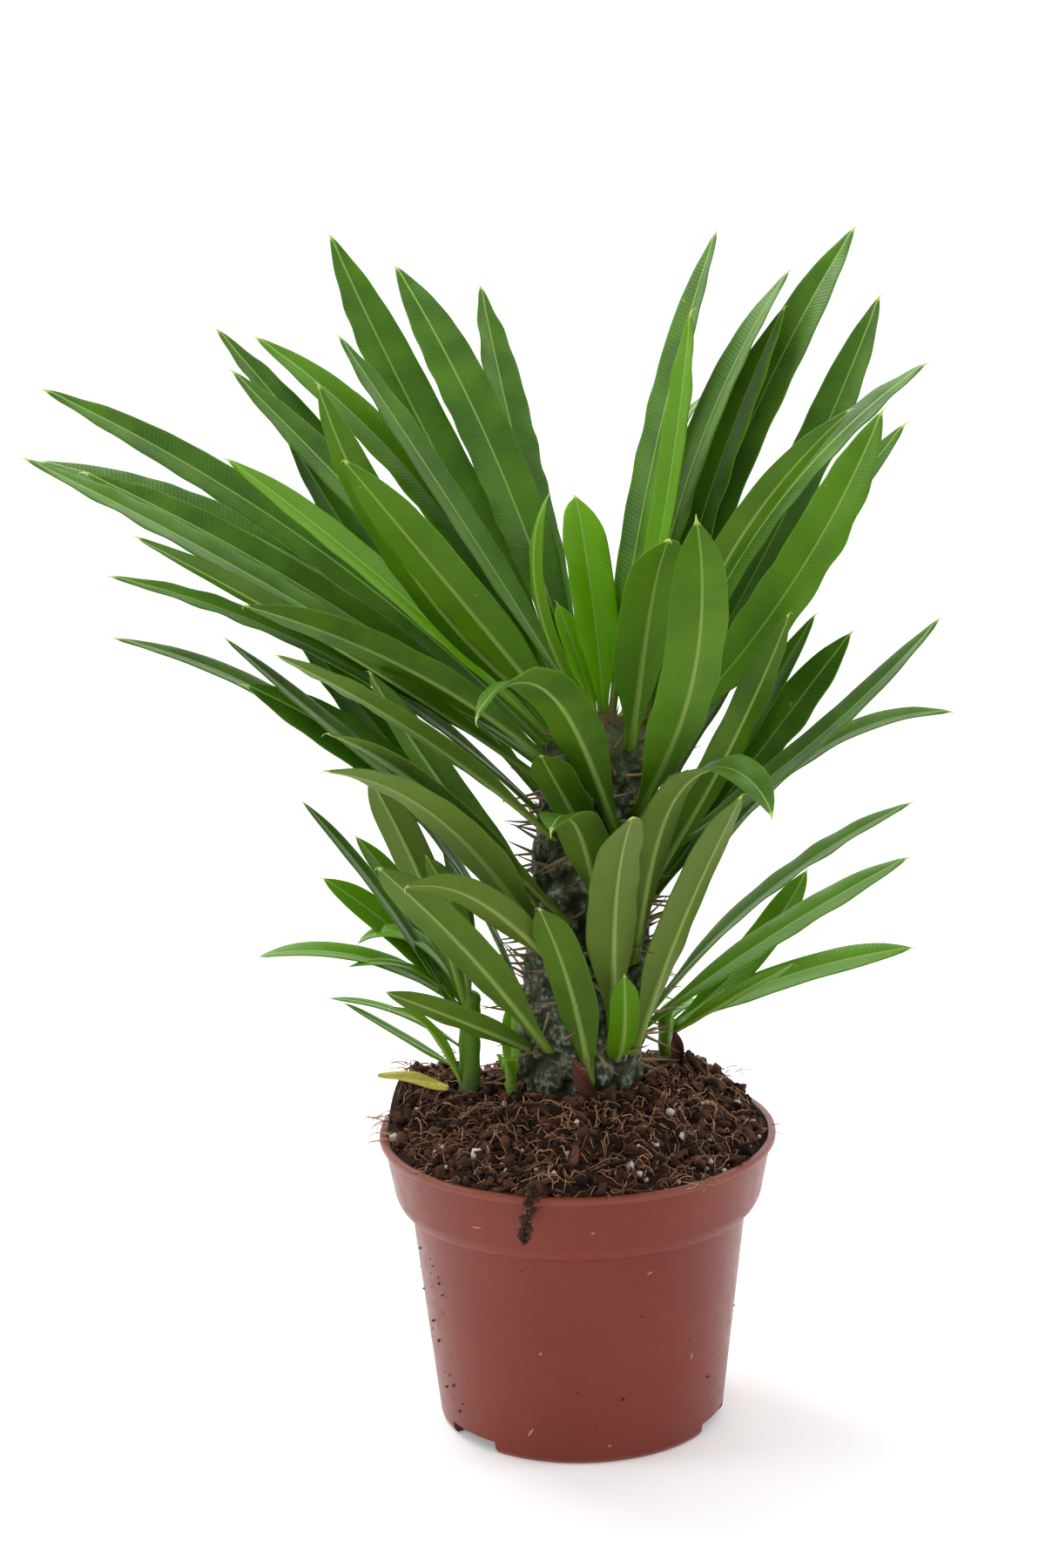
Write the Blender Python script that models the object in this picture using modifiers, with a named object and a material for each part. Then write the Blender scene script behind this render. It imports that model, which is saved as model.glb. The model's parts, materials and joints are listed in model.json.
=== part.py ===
"""A young Madagascar palm in its round plastic nursery pot.

Metres, +Z up. The origin is the middle of the pot's foot, which stands on the
ground plane. -Y is the front. The trunk leans a little to +X.

Lengths below are in millimetres and angles in degrees, and MM turns them into
metres where the meshes are made.
"""

import math

import bmesh
import bpy
import numpy as np
from mathutils import Vector
from mathutils.bvhtree import BVHTree

MM = 0.001

# Pot: a 12 cm nursery pot with a wide collar under a thin lip.
RIM_R = 60.0
POT_H = 90.7
LIP_H = 2.0
COLLAR_TOP_R = 58.6
COLLAR_LOW_R = 55.6
COLLAR_FOOT_R = 53.6
COLLAR_FOOT_Z = 68.6
BODY_TOP_R = 50.9
BODY_FOOT_R = 43.2
WALL = 1.3
FLOOR = 1.6
NOTCH_SIDES = (-20.5, 99.5, 219.5)
NOTCH_WIDE = 20.0
NOTCH_HIGH = 4.0
NOTCH_DEEP = 9.0
POT_STEPS = 44

# Soil: fills the pot and stands over its rim, highest at the left and round the trunk.
GAP = 0.4
SOIL_RINGS = 7
SOIL_STEPS = 44

# Trunk, by height over the ground plane.
TRUNK_FOOT_Z = 76.0
TRUNK_TOP_Z = 216.0
TRUNK_Y = 14.0
TRUNK_LEAN = 10.0 / 116.0
TRUNK_R_LOW = 19.0
TRUNK_R_HIGH = 16.5
TRUNK_DOME = 12.0
SEAT = 1.15

# Side shoots: foot, top, radius at the foot, radius at the top.
SHOOTS = {
    "pup_left": ((-34.0, 8.0, 84.0), (-31.5, 9.0, 129.0), 3.4, 3.2),
    "pup_right": ((27.0, 31.0, 84.0), (28.0, 31.0, 117.0), 2.5, 2.1),
    "pup_small": ((-19.5, -1.0, 88.0), (-19.5, 0.0, 107.0), 2.5, 1.8),
}

# Leaves.
LEAF_THICK = 0.9
LEAF_FOLD = 14.0
LEAF_ROWS = 8
SMALL_LEAF_ROWS = 5
ROOM = 0.45

# One row a leaf of the trunk: name, height of the seat, heading of the leaf, its length,
# the tip's place in the front view, a place its midrib passes there, the side that shows
# (U the upper, N the under, E the edge), the breadth that shows, the blade's width, and
# how late the leaf bends (1 evenly, 3 mostly near the tip).
LEAVES = (
    ("leaf_01", 214, 178, 140, (268, 427), (340, 500), "U", 40, 13, 1),
    ("leaf_02", 211, 148, 160, (295, 388), (420, 462), "U", 40, 14, 1),
    ("leaf_03", 211, 215, 125, (397, 530), (480, 615), "N", 54, 16, 1),
    ("leaf_04", 211, 114, 168, (455, 307), (560, 460), "U", 58, 16, 1),
    ("leaf_05", 213, 205, 135, (366, 443), (420, 570), "N", 42, 14, 1),
    ("leaf_06", 209, 188, 140, (262, 528), (380, 617), "U", 32, 12, 1),
    ("leaf_07", 212, 124, 186, (380, 272), (470, 460), "U", 58, 16, 3),
    ("leaf_08", 214, 50, 125, (793, 360), (775, 470), "U", 38, 13, 1),
    ("leaf_09", 202, 188, 195, (30, 527), (200, 613), "U", 26, 14, 1),
    ("leaf_10", 207, 352, 125, (1012, 474), (930, 640), "U", 60, 17, 1),
    ("leaf_11", 206, 128, 152, (402, 446), (490, 570), "U", 30, 13, 1),
    ("leaf_12", 206, 168, 198, (52, 448), (280, 573), "U", 46, 15, 1),
    ("leaf_13", 204, 180, 182, (98, 543), (220, 604), "U", 36, 14, 1),
    ("leaf_14", 208, 156, 178, (250, 379), (310, 450), "U", 40, 14, 1),
    ("leaf_15", 213, 68, 160, (822, 267), (762, 430), "E", 32, 14, 1),
    ("leaf_16", 208, 98, 165, (552, 330), (570, 420), "U", 40, 15, 1),
    ("leaf_17", 209, 282, 88, (767, 620), (738, 754), "N", 58, 17, 3),
    ("leaf_18", 211, 50, 165, (905, 312), (810, 470), "U", 36, 14, 1),
    ("leaf_19", 204, 212, 125, (283, 695), (420, 745), "N", 34, 13, 1),
    ("leaf_20", 207, 36, 165, (900, 354), (850, 480), "U", 38, 14, 1),
    ("leaf_21", 206, 58, 130, (817, 446), (745, 567), "U", 30, 12, 1),
    ("leaf_22", 205, 35, 190, (980, 263), (900, 410), "U", 54, 16, 1),
    ("leaf_23", 190, 150, 120, (330, 500), (380, 590), "U", 36, 13, 1),
    ("leaf_24", 208, 338, 130, (975, 471), (890, 560), "N", 34, 13, 1),
    ("leaf_25", 203, 28, 175, (1009, 342), (940, 510), "U", 46, 15, 1),
    ("leaf_26", 201, 172, 205, (47, 530), (180, 568), "U", 34, 14, 1),
    ("leaf_27", 184, 250, 108, (547, 825), (675, 865), "N", 46, 15, 3),
    ("leaf_28", 188, 196, 170, (128, 662), (290, 714), "E", 18, 12, 1),
    ("leaf_29", 182, 235, 62, (622, 868), (637, 895), "N", 44, 13, 2),
    ("leaf_30", 185, 0, 150, (1038, 488), (880, 710), "U", 46, 14, 1),
    ("leaf_31", 182, 210, 125, (318, 752), (460, 833), "N", 16, 10, 1),
    ("leaf_32", 198, 12, 165, (1062, 418), (985, 480), "E", 30, 13, 1),
    ("leaf_33", 190, 292, 108, (800, 600), (803, 720), "N", 62, 18, 2),
    ("leaf_34", 172, 350, 135, (1078, 711), (920, 862), "E", 26, 12, 1),
    ("leaf_35", 198, 203, 165, (158, 617), (280, 682), "N", 22, 12, 1),
    ("leaf_36", 166, 340, 95, (905, 706), (845, 845), "N", 40, 13, 1),
    ("leaf_37", 162, 255, 75, (633, 952), (692, 995), "N", 48, 15, 3),
    ("leaf_38", 166, 193, 125, (260, 734), (315, 780), "U", 22, 10, 1),
    ("leaf_39", 157, 225, 120, (376, 842), (530, 938), "N", 24, 11, 3),
    ("leaf_40", 158, 358, 112, (976, 728), (900, 850), "U", 50, 15, 1),
    ("leaf_41", 155, 170, 110, (335, 715), (410, 810), "U", 46, 15, 1),
    ("leaf_42", 150, 218, 122, (375, 885), (510, 945), "N", 50, 15, 3),
    ("leaf_43", 152, 186, 130, (284, 787), (390, 846), "U", 50, 14, 1),
    ("leaf_44", 144, 232, 88, (467, 1018), (560, 1042), "N", 36, 12, 3),
    ("leaf_45", 142, 352, 125, (1092, 817), (940, 866), "E", 15, 11, 2),
    ("leaf_46", 143, 300, 100, (886, 935), (775, 990), "N", 44, 15, 3),
    ("leaf_47", 130, 190, 160, (132, 733), (240, 768), "E", 17, 12, 1),
    ("leaf_48", 122, 272, 95, (725, 939), (713, 1040), "N", 58, 17, 1),
    ("leaf_49", 122, 350, 120, (1045, 922), (880, 1025), "E", 16, 11, 1),
    ("leaf_50", 117, 222, 105, (436, 997), (530, 1085), "N", 44, 14, 1),
    ("leaf_51", 118, 5, 110, (1041, 985), (930, 1048), "U", 30, 11, 1),
    ("leaf_52", 107, 262, 72, (620, 1044), (658, 1145), "N", 42, 13, 1),
    ("leaf_53", 114, 305, 95, (850, 915), (778, 1060), "N", 56, 16, 1),
)

# Small and mostly hidden leaves of the trunk, grown onto it in the same solid.
TRUNK_LEAVES = (
    ("spear", 214, 240, 72, (630, 568), (615, 650), "E", 14, 6, 3),
    ("short_1", 214, 120, 42, (640, 693), (655, 735), "U", 24, 8, 1),
    ("short_2", 213, 95, 72, (661, 571), (680, 690), "U", 48, 15, 1),
    ("short_3", 214, 146, 135, (390, 387), (415, 425), "U", 30, 13, 1),
    ("short_4", 152, 222, 98, (425, 772), (480, 860), "N", 34, 13, 1),
    ("short_5", 150, 8, 120, (935, 707), (880, 800), "U", 28, 11, 1),
    ("short_6", 111, 222, 78, (444, 1139), (520, 1168), "N", 26, 9, 1),
    ("short_7", 107, 285, 42, (717, 1121), (718, 1200), "N", 31, 9, 1),
)

# Leaves of the side shoots, grown onto them: the seat is a height on the shoot.
SHOOT_LEAVES = {
    "pup_left": (
        ("a_01", 126, 182, 66, (298, 1098), (420, 1101), "U", 20, 9, 1),
        ("a_02", 124, 190, 38, (400, 1110), (485, 1117), "E", 9, 5, 1),
        ("a_03", 128, 178, 40, (411, 1083), (490, 1087), "U", 16, 8, 2),
        ("a_04", 128, 170, 58, (372, 1009), (445, 1062), "U", 34, 10, 1),
        ("a_05", 120, 190, 80, (348, 921), (420, 1006), "E", 14, 7, 1),
        ("a_06", 128, 150, 62, (409, 961), (470, 1040), "U", 26, 9, 1),
        ("a_07", 128, 215, 78, (425, 893), (480, 1000), "N", 46, 12, 1),
        ("a_08", 129, 240, 46, (490, 983), (525, 1045), "N", 28, 8, 1),
        ("a_09", 130, 110, 50, (508, 955), (535, 1060), "U", 20, 7, 1),
        ("a_10", 114, 185, 46, (378, 1146), (470, 1167), "E", 8, 5, 1),
        ("a_11", 107, 190, 38, (395, 1151), (440, 1178), "E", 8, 5, 1),
        ("a_12", 102, 225, 34, (449, 1156), (500, 1188), "N", 10, 5, 2),
    ),
    "pup_right": (
        ("b_01", 112, 12, 60, (926, 1000), (855, 1105), "U", 38, 11, 1),
        ("b_02", 112, 355, 78, (1046, 1088), (920, 1116), "U", 30, 11, 1),
        ("b_03", 110, 330, 42, (909, 1107), (840, 1145), "N", 14, 8, 2),
        ("b_04", 114, 40, 34, (806, 1150), (785, 1152), "U", 10, 6, 1),
        ("b_05", 112, 100, 22, (770, 1148), (768, 1170), "U", 10, 5, 1),
        ("b_06", 104, 262, 12, (770, 1170), (766, 1190), "N", 9, 5, 1),
    ),
    "pup_small": (
        ("c_01", 105, 95, 28, (588, 1152), (588, 1190), "U", 18, 6, 1),
        ("c_02", 106, 300, 20, (578, 1218), (585, 1235), "N", 14, 6, 2),
    ),
}

# The side of the trunk where a leaf starts, where it isn't the side that it leans to.
SEAT_SIDES = {
    "leaf_03": 240, "leaf_04": 112, "leaf_12": 168, "leaf_15": 70, "leaf_16": 102,
    "leaf_17": 300, "leaf_18": 52, "leaf_20": 38, "leaf_21": 56, "leaf_26": 162,
    "leaf_27": 300, "leaf_29": 265, "leaf_31": 225, "leaf_33": 315, "leaf_37": 290,
    "leaf_39": 250, "leaf_42": 225, "leaf_44": 240, "leaf_46": 330, "leaf_48": 310,
    "leaf_50": 240, "leaf_52": 280, "leaf_53": 325, "short_1": 112, "short_2": 88,
    "short_7": 320,
}

# Leaves with a rounded end.
BLUNT = (
    "leaf_17", "leaf_33", "leaf_37", "leaf_48", "leaf_52", "leaf_29", "leaf_53", "leaf_46",
    "leaf_42", "leaf_44", "leaf_50", "short_2", "short_7", "a_07", "a_08",
)

# A yellowed leaf that has dropped on the soil's left shoulder, from stalk to tip.
FALLEN = ((-39.0, 5.0), (-44.0, 6.0), (-49.5, 7.0), (-55.0, 8.0), (-60.5, 9.0))
FALLEN_LIFT = (1.3, 2.4, 4.6, 7.4, 10.5)
FALLEN_WIDE = 5.0

# Spines: pairs that stand on the trunk's bark knobs.
SPINE_TURN = 137.5
SPINE_LEVELS = 30
SPINE_LOW_Z = 108.0
SPINE_HIGH_Z = 203.0
SPINE_LONG = 12.5
SPINE_R = 0.65
SPINE_ROOM = 0.6

# The front view in which the leaves are set out: a place in it is across and down,
# 1200 by 1800 units, as seen from VIEW_FROM.
VIEW_FROM = (0.0, -1120.35, 498.68)
VIEW_YAW = -0.743
VIEW_DOWN = 14.974
VIEW_TILT = -1.166
VIEW_LONG = 4500.0
HEADING_GIVE = 15.0
LONG_GIVE = 15.0
ARCH = 18.0


def clear_scene():
    for obj in list(bpy.data.objects):
        bpy.data.objects.remove(obj)


def new_collection(name):
    made = bpy.data.collections.new(name)
    bpy.context.scene.collection.children.link(made)
    return made


def material(name, color, roughness):
    made = bpy.data.materials.new(name)
    made.use_nodes = True
    shader = made.node_tree.nodes["Principled BSDF"]
    shader.inputs["Base Color"].default_value = (*color, 1.0)
    shader.inputs["Roughness"].default_value = roughness
    shader.inputs["Metallic"].default_value = 0.0
    return made


def add(name, mesh, collection, finish=None):
    obj = bpy.data.objects.new(name, mesh)
    collection.objects.link(obj)
    if finish:
        mesh.materials.append(finish)
    return obj


def helper(obj):
    obj.hide_render = True
    obj.display_type = "WIRE"
    return obj


def evaluated_mesh(obj):
    """The object's mesh with its modifiers applied and loose seams welded."""
    bpy.context.view_layer.update()
    graph = bpy.context.evaluated_depsgraph_get()
    mesh = bpy.data.meshes.new_from_object(obj.evaluated_get(graph))
    bm = bmesh.new()
    bm.from_mesh(mesh)
    bmesh.ops.remove_doubles(bm, verts=bm.verts, dist=1e-6)
    bmesh.ops.recalc_face_normals(bm, faces=bm.faces)
    bm.to_mesh(mesh)
    bm.free()
    return mesh


def turned(name, profile, steps, collection):
    """A profile of (radius, height) in mm, turned about Z. It runs down the outer side."""
    mesh = bpy.data.meshes.new(name)
    mesh.from_pydata(
        [(r * MM, 0.0, z * MM) for r, z in profile],
        [(i, i + 1) for i in range(len(profile) - 1)],
        [],
    )
    obj = add(name, mesh, collection)
    screw = obj.modifiers.new("turn", "SCREW")
    screw.axis = "Z"
    screw.steps = screw.render_steps = steps
    screw.use_merge_vertices = True
    screw.merge_threshold = 1e-6
    return obj


def bar(name, points, radii, collection, sides=10):
    """A round bar through the points, with a radius at each, as a closed mesh."""
    curve = bpy.data.curves.new(name, "CURVE")
    curve.dimensions = "3D"
    curve.bevel_depth = 1.0 * MM
    curve.bevel_resolution = sides // 2 - 2
    curve.use_fill_caps = True
    spline = curve.splines.new("POLY")
    spline.points.add(len(points) - 1)
    for point, place, radius in zip(spline.points, points, radii):
        point.co = (*(c * MM for c in place), 1.0)
        point.radius = radius
    guide = add(name + "_guide", curve, collection)
    mesh = evaluated_mesh(guide)
    bpy.data.objects.remove(guide)
    mesh.name = name
    mesh.shade_smooth()
    return mesh


def unite(obj, others):
    """Grows the helper collection's solids onto the object, and fills any bubble left between them."""
    join = obj.modifiers.new("grown_on", "BOOLEAN")
    join.operation = "UNION"
    join.operand_type = "COLLECTION"
    join.collection = others
    join.solver = "EXACT"
    mesh = evaluated_mesh(obj)
    obj.modifiers.remove(join)
    bm = bmesh.new()
    bm.from_mesh(mesh)
    waiting = set(bm.faces)
    islands = []
    while waiting:
        front = [waiting.pop()]
        island = list(front)
        while front:
            for edge in front.pop().edges:
                for face in edge.link_faces:
                    if face in waiting:
                        waiting.remove(face)
                        front.append(face)
                        island.append(face)
        islands.append(island)
    islands.sort(key=len)
    for island in islands[:-1]:
        bmesh.ops.delete(bm, geom=island, context="FACES")
    bmesh.ops.recalc_face_normals(bm, faces=bm.faces)
    bm.to_mesh(mesh)
    bm.free()
    obj.data = mesh


def cut(obj, cutter):
    hole = obj.modifiers.new("cut", "BOOLEAN")
    hole.operation = "DIFFERENCE"
    hole.object = cutter
    hole.solver = "EXACT"


# ---------------------------------------------------------------- shapes of the plant


def trunk_axis(z):
    return np.array([TRUNK_LEAN * (z - 100.0), TRUNK_Y, z])


def trunk_radius(z):
    radius = TRUNK_R_LOW + (TRUNK_R_HIGH - TRUNK_R_LOW) * (z - 100.0) / 116.0
    if z < 100.0:
        radius = TRUNK_R_LOW - 5.0 * ((100.0 - z) / 24.0) ** 2
    dome = (z - TRUNK_TOP_Z + TRUNK_DOME) / TRUNK_DOME
    if dome > 0:
        radius *= math.sqrt(max(0.02, 1.0 - dome * dome))
    return radius


def shoot_at(name, z):
    foot, top, foot_r, top_r = SHOOTS[name]
    along = (z - foot[2]) / (top[2] - foot[2])
    middle = np.array(foot) + (np.array(top) - np.array(foot)) * along
    return middle, foot_r + (top_r - foot_r) * along


def soil_height(x, y):
    """The mound's height: a low dome, a high left shoulder and a lower one behind at the right."""
    dome = 14.5 * (1.0 - (x * x + (y - 4.0) ** 2) / 60.0**2)
    left = 11.0 * math.exp(-((x + 52.0) ** 2 + (y - 20.0) ** 2) / (2 * 12.5**2))
    right = 5.5 * math.exp(-((x - 36.0) ** 2 + (y - 38.0) ** 2) / (2 * 15.0**2))
    return 89.5 + dome + left + right


def blade_width(along, blunt=False):
    """Half width over its greatest, along the leaf: a stalk, a long strap, then the end."""
    grow = np.clip((along - 0.03) / 0.40, 0, 1)
    stalk = 0.20 + 0.80 * (grow * grow * (3 - 2 * grow))
    if blunt:
        return stalk * (1 - 0.93 * np.clip((along - 0.66) / 0.34, 0, 1) ** 3.2)
    return stalk * (1 - 0.95 * np.clip((along - 0.58) / 0.42, 0, 1) ** 2.5)


def midrib(seat, tip, rise, swing, late, rows):
    """Points and directions of a midrib that leaves its seat at the rise and ends at the tip.

    The rise changes along the leaf to a fall at the tip, and the fall is the one
    that lets the leaf reach its tip.
    """
    reach = np.array(tip, float) - seat
    flat = math.hypot(reach[0], reach[1])
    steps = (np.arange(rows * 5) + 0.5) / (rows * 5)
    falls = np.arange(-110.0, 130.1, 0.5)
    lift = np.radians(rise + (falls[:, None] - rise) * steps**late)
    turn = np.radians(swing * (steps - 0.5))
    ahead = (np.cos(lift) * np.cos(turn)).mean(1)
    aside = (np.cos(lift) * np.sin(turn)).mean(1)
    up = np.sin(lift).mean(1)
    missed = np.abs(np.arctan2(up, ahead) - math.atan2(reach[2], flat))
    pick = int(np.argmin(np.round(missed + 2e-4 * np.abs(falls - rise), 9)))
    span = math.sqrt(ahead[pick] ** 2 + aside[pick] ** 2 + up[pick] ** 2)
    length = math.sqrt(float(reach @ reach)) / span
    heading = math.atan2(reach[1], reach[0]) - math.atan2(aside[pick], ahead[pick])
    rate = lift[pick]
    each = np.stack(
        [
            np.cos(rate) * np.cos(heading + turn),
            np.cos(rate) * np.sin(heading + turn),
            np.sin(rate),
        ],
        -1,
    ) * (length / len(steps))
    points = np.concatenate([[seat], seat + np.cumsum(each, 0)])
    along = np.linspace(0, 1, len(points))
    points += (np.array(tip, float) - points[-1]) * (along**2)[:, None]
    lift = np.radians(rise + (falls[pick] - rise) * along**late)
    turn = heading + np.radians(swing * (along - 0.5))
    ahead = np.stack([np.cos(lift) * np.cos(turn), np.cos(lift) * np.sin(turn), np.sin(lift)], -1)
    aside = np.stack([-np.sin(turn), np.cos(turn), 0 * turn], -1)
    every = np.arange(0, len(points), 5)
    return along[every], points[every], aside[every], np.cross(ahead, aside)[every], length


def blade_edges(path, width, roll, grow=0.0, blunt=False):
    """Left edge, midrib, right edge and the upper side's direction along the leaf."""
    along, points, aside, above, _ = path
    r = math.radians(roll)
    across = math.cos(r) * aside + math.sin(r) * above
    over = math.cos(r) * above - math.sin(r) * aside
    half = (blade_width(along, blunt) * width / 2 + grow)[:, None]
    f = math.radians(LEAF_FOLD)
    left = points - across * half * math.cos(f) + over * half * math.sin(f)
    right = points + across * half * math.cos(f) + over * half * math.sin(f)
    return left, points, right, over


def view_axes():
    """Directions of the front view: into it, across it and up it."""
    yaw, down, tilt = (math.radians(v) for v in (VIEW_YAW, VIEW_DOWN, VIEW_TILT))
    look = np.array(
        [math.sin(yaw) * math.cos(down), math.cos(yaw) * math.cos(down), -math.sin(down)]
    )
    level = np.array([math.cos(yaw), -math.sin(yaw), 0.0])
    up = np.cross(level, look)
    across = level * math.cos(tilt) + up * math.sin(tilt)
    return look, across, up * math.cos(tilt) - level * math.sin(tilt)


LOOK, ACROSS, UPWARD = view_axes()


def seen_at(points):
    """Where points stand in the front view."""
    away = np.atleast_2d(points) - np.array(VIEW_FROM)
    deep = away @ LOOK
    return np.stack(
        [600.0 + VIEW_LONG * (away @ ACROSS) / deep, 900.0 - VIEW_LONG * (away @ UPWARD) / deep], -1
    )


def sight(place):
    """The line of sight through a place in the view, per mm of depth."""
    way = LOOK * VIEW_LONG + ACROSS * (place[0] - 600.0) + UPWARD * (900.0 - place[1])
    return way / way[1]


def tip_place(place, middle, heading, long):
    """The tip: on its line of sight, where its heading and distance suit the leaf best."""
    way = sight(place)
    depths = np.arange(-90.0, 150.1, 1.0)
    spots = np.array(VIEW_FROM) + way * (depths - VIEW_FROM[1])[:, None]
    reach = spots - middle
    turn = np.degrees(np.arctan2(reach[:, 1], reach[:, 0]))
    off = (turn - heading + 180.0) % 360.0 - 180.0
    far = np.linalg.norm(reach, axis=1)
    cost = (off / HEADING_GIVE) ** 2 + ((far * 1.03 - long) / LONG_GIVE) ** 2
    return spots[int(np.argmin(np.round(cost, 6)))]


def missed_by(place, points):
    """How far in the view a leaf's line passes from a place."""
    line = seen_at(points)
    a, b = line[:-1], line[1:]
    run = b - a
    share = np.clip(((place - a) * run).sum(1) / np.maximum((run * run).sum(1), 1e-9), 0, 1)
    return float(np.linalg.norm(a + run * share[:, None] - place, axis=1).min())


def bend_of(seat, tip, waypoint, late, rows):
    """The rise and swing that take the leaf over its way point with the least bending."""
    reach = tip - seat
    slope = math.degrees(math.atan2(reach[2], math.hypot(reach[0], reach[1])))
    easy = min(85.0, slope + ARCH)
    place = np.array(waypoint, float)
    rise, swing = easy, 0.0

    def strain(r, s):
        gap = missed_by(place, midrib(seat, tip, r, s, late, rows)[1])
        return (gap / 3.0) ** 2 + ((r - easy) / 20.0) ** 2 + (s / 20.0) ** 2

    for span_r, span_s, step in ((50.0, 40.0, 10.0), (8.0, 8.0, 4.0), (3.0, 3.0, 1.5)):
        tried = []
        for r in np.arange(rise - span_r, rise + span_r + 0.1, step):
            for s in np.arange(swing - span_s, swing + span_s + 0.1, step):
                if -10.0 <= r <= 90.0:
                    tried.append((round(strain(r, s), 6), r, s))
        _, rise, swing = min(tried)
    return rise, swing


def roll_of(path, face, seen, width):
    """The least roll that shows the face and the breadth that the view has of the leaf."""
    points = path[1]
    spot = len(points) // 2
    eye = np.array(VIEW_FROM) - points[spot]
    line = seen_at(points)
    run = line[min(spot + 1, len(line) - 1)] - line[spot - 1]
    side = np.array([-run[1], run[0]]) / max(float(np.hypot(*run)), 1e-9)
    best = None
    for roll in range(-80, 81, 5):
        left, _, right, over = blade_edges(path, width, roll)
        broad = abs(float((seen_at(left[spot]) - seen_at(right[spot]))[0] @ side))
        facing = float(over[spot] @ eye) / float(np.linalg.norm(eye))
        wrong = {"U": max(0.0, 0.08 - facing), "N": max(0.0, 0.08 + facing)}.get(face, 0.0)
        cost = ((broad - seen) / 5.0) ** 2 + (roll / 30.0) ** 2 + 120.0 * wrong
        cost = round(cost, 6)
        if best is None or cost < best[0]:
            best = (cost, float(roll))
    return best[1]


class Leaf:
    def __init__(self, row, stem, grown_on):
        (self.name, self.z, heading, long, place, waypoint, face, seen, self.width,
         self.late) = row
        self.stem = stem
        self.grown_on = grown_on
        self.blunt = self.name in BLUNT
        self.rows = SMALL_LEAF_ROWS if grown_on else LEAF_ROWS
        if stem == "main_stem":
            middle = trunk_axis(self.z)
        else:
            middle = shoot_at(stem, self.z)[0]
        self.tip = tip_place(place, middle, heading, long)
        self.sight = sight(place)
        reach = self.tip - middle
        self.side = SEAT_SIDES.get(self.name, math.degrees(math.atan2(reach[1], reach[0])))
        seat = self.seat(self.side)
        self.rise, self.swing = bend_of(seat, self.tip, waypoint, self.late, self.rows)
        path = midrib(seat, self.tip, self.rise, self.swing, self.late, self.rows)
        self.roll = roll_of(path, face, seen, self.width)
        self.change = (0.0, 0.0, 0.0, 0.0)
        self.lay()

    def seat(self, side):
        """Where the stalk starts: SEAT off the bark, or inside it where the leaf is grown on."""
        if self.stem == "main_stem":
            middle, radius = trunk_axis(self.z), trunk_radius(self.z)
        else:
            middle, radius = shoot_at(self.stem, self.z)
        out, up = 0.6 * radius, 0.0
        if not self.grown_on:
            slope = math.atan2(trunk_radius(self.z - 0.5) - trunk_radius(self.z + 0.5), 1.0)
            out, up = radius + SEAT * math.cos(slope), SEAT * math.sin(slope)
        turn = math.radians(side)
        return middle + np.array([out * math.cos(turn), out * math.sin(turn), up])

    def lay(self, change=None):
        """Lays the blade, with a change: depth of the tip, side, rise and roll."""
        if change is not None:
            self.change = change
        depth, side, rise, roll = self.change
        tip = self.tip + depth * self.sight
        self.path = midrib(
            self.seat(self.side + side), tip, self.rise + rise, self.swing, self.late, self.rows
        )
        self.turn = self.roll + roll
        self.loose = shell_tree(self.path, self.width, self.turn, ROOM, self.blunt)
        self.tight = shell_tree(self.path, self.width, self.turn, 0.1, self.blunt)


def shell_tree(path, width, roll, grow, blunt=False):
    """A tree of the blade's skin, swollen by grow all round, and its box."""
    left, middle, right, over = blade_edges(path, width, roll, grow, blunt)
    half = LEAF_THICK / 2 + grow
    verts = np.concatenate(
        [
            np.stack([left, middle, right], 1).reshape(-1, 3) + np.repeat(over, 3, 0) * half,
            np.stack([left, middle, right], 1).reshape(-1, 3) - np.repeat(over, 3, 0) * half,
        ]
    )
    n = len(middle)
    low = 3 * n
    polys = []
    for i in range(n - 1):
        a = 3 * i
        for j in (0, 1):
            polys.append((a + j, a + j + 1, a + j + 4, a + j + 3))
            polys.append((low + a + j, low + a + j + 3, low + a + j + 4, low + a + j + 1))
        polys.append((a, a + 3, low + a + 3, low + a))
        polys.append((a + 2, low + a + 2, low + a + 5, a + 5))
    end = 3 * (n - 1)
    for j in (0, 1):
        polys.append((j, low + j, low + j + 1, j + 1))
        polys.append((end + j, end + j + 1, low + end + j + 1, low + end + j))
    tree = BVHTree.FromPolygons([tuple(v) for v in verts], polys)
    return tree, verts.min(0), verts.max(0)


def touching(a, b):
    """How many pairs of faces of two skins cross."""
    if (a[1] > b[2]).any() or (b[1] > a[2]).any():
        return 0
    return len(a[0].overlap(b[0]))


def solid_tree(mesh):
    verts = np.array([v.co for v in mesh.vertices]) / MM
    polys = [tuple(p.vertices) for p in mesh.polygons]
    return BVHTree.FromPolygons([tuple(v) for v in verts], polys), verts.min(0), verts.max(0)


def crossings(leaf, leaves, solids):
    """Crossings of one leaf with all that it must stay clear of."""
    total = 0
    for other in leaves:
        if other is leaf or (leaf.grown_on and other.grown_on and leaf.stem == other.stem):
            continue
        total += touching(leaf.loose, other.loose)
    for name, solid in solids.items():
        if not (leaf.grown_on and name == leaf.stem):
            total += 3 * touching(leaf.tight, solid)
    return total


def ways():
    """Small changes a leaf may make to give room, the least first."""
    found = []
    for depth in range(-24, 25, 3):
        for side in (0, -6, 6, -12, 12):
            for rise in (0, -6, 6, -12, 12):
                for roll in (0, -12, 12):
                    cost = abs(depth) / 3 + abs(side) / 6 + abs(rise) / 4 + abs(roll) / 12
                    if cost <= 9:
                        found.append((cost, (float(depth), float(side), float(rise), float(roll))))
    found.sort()
    return found


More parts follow.
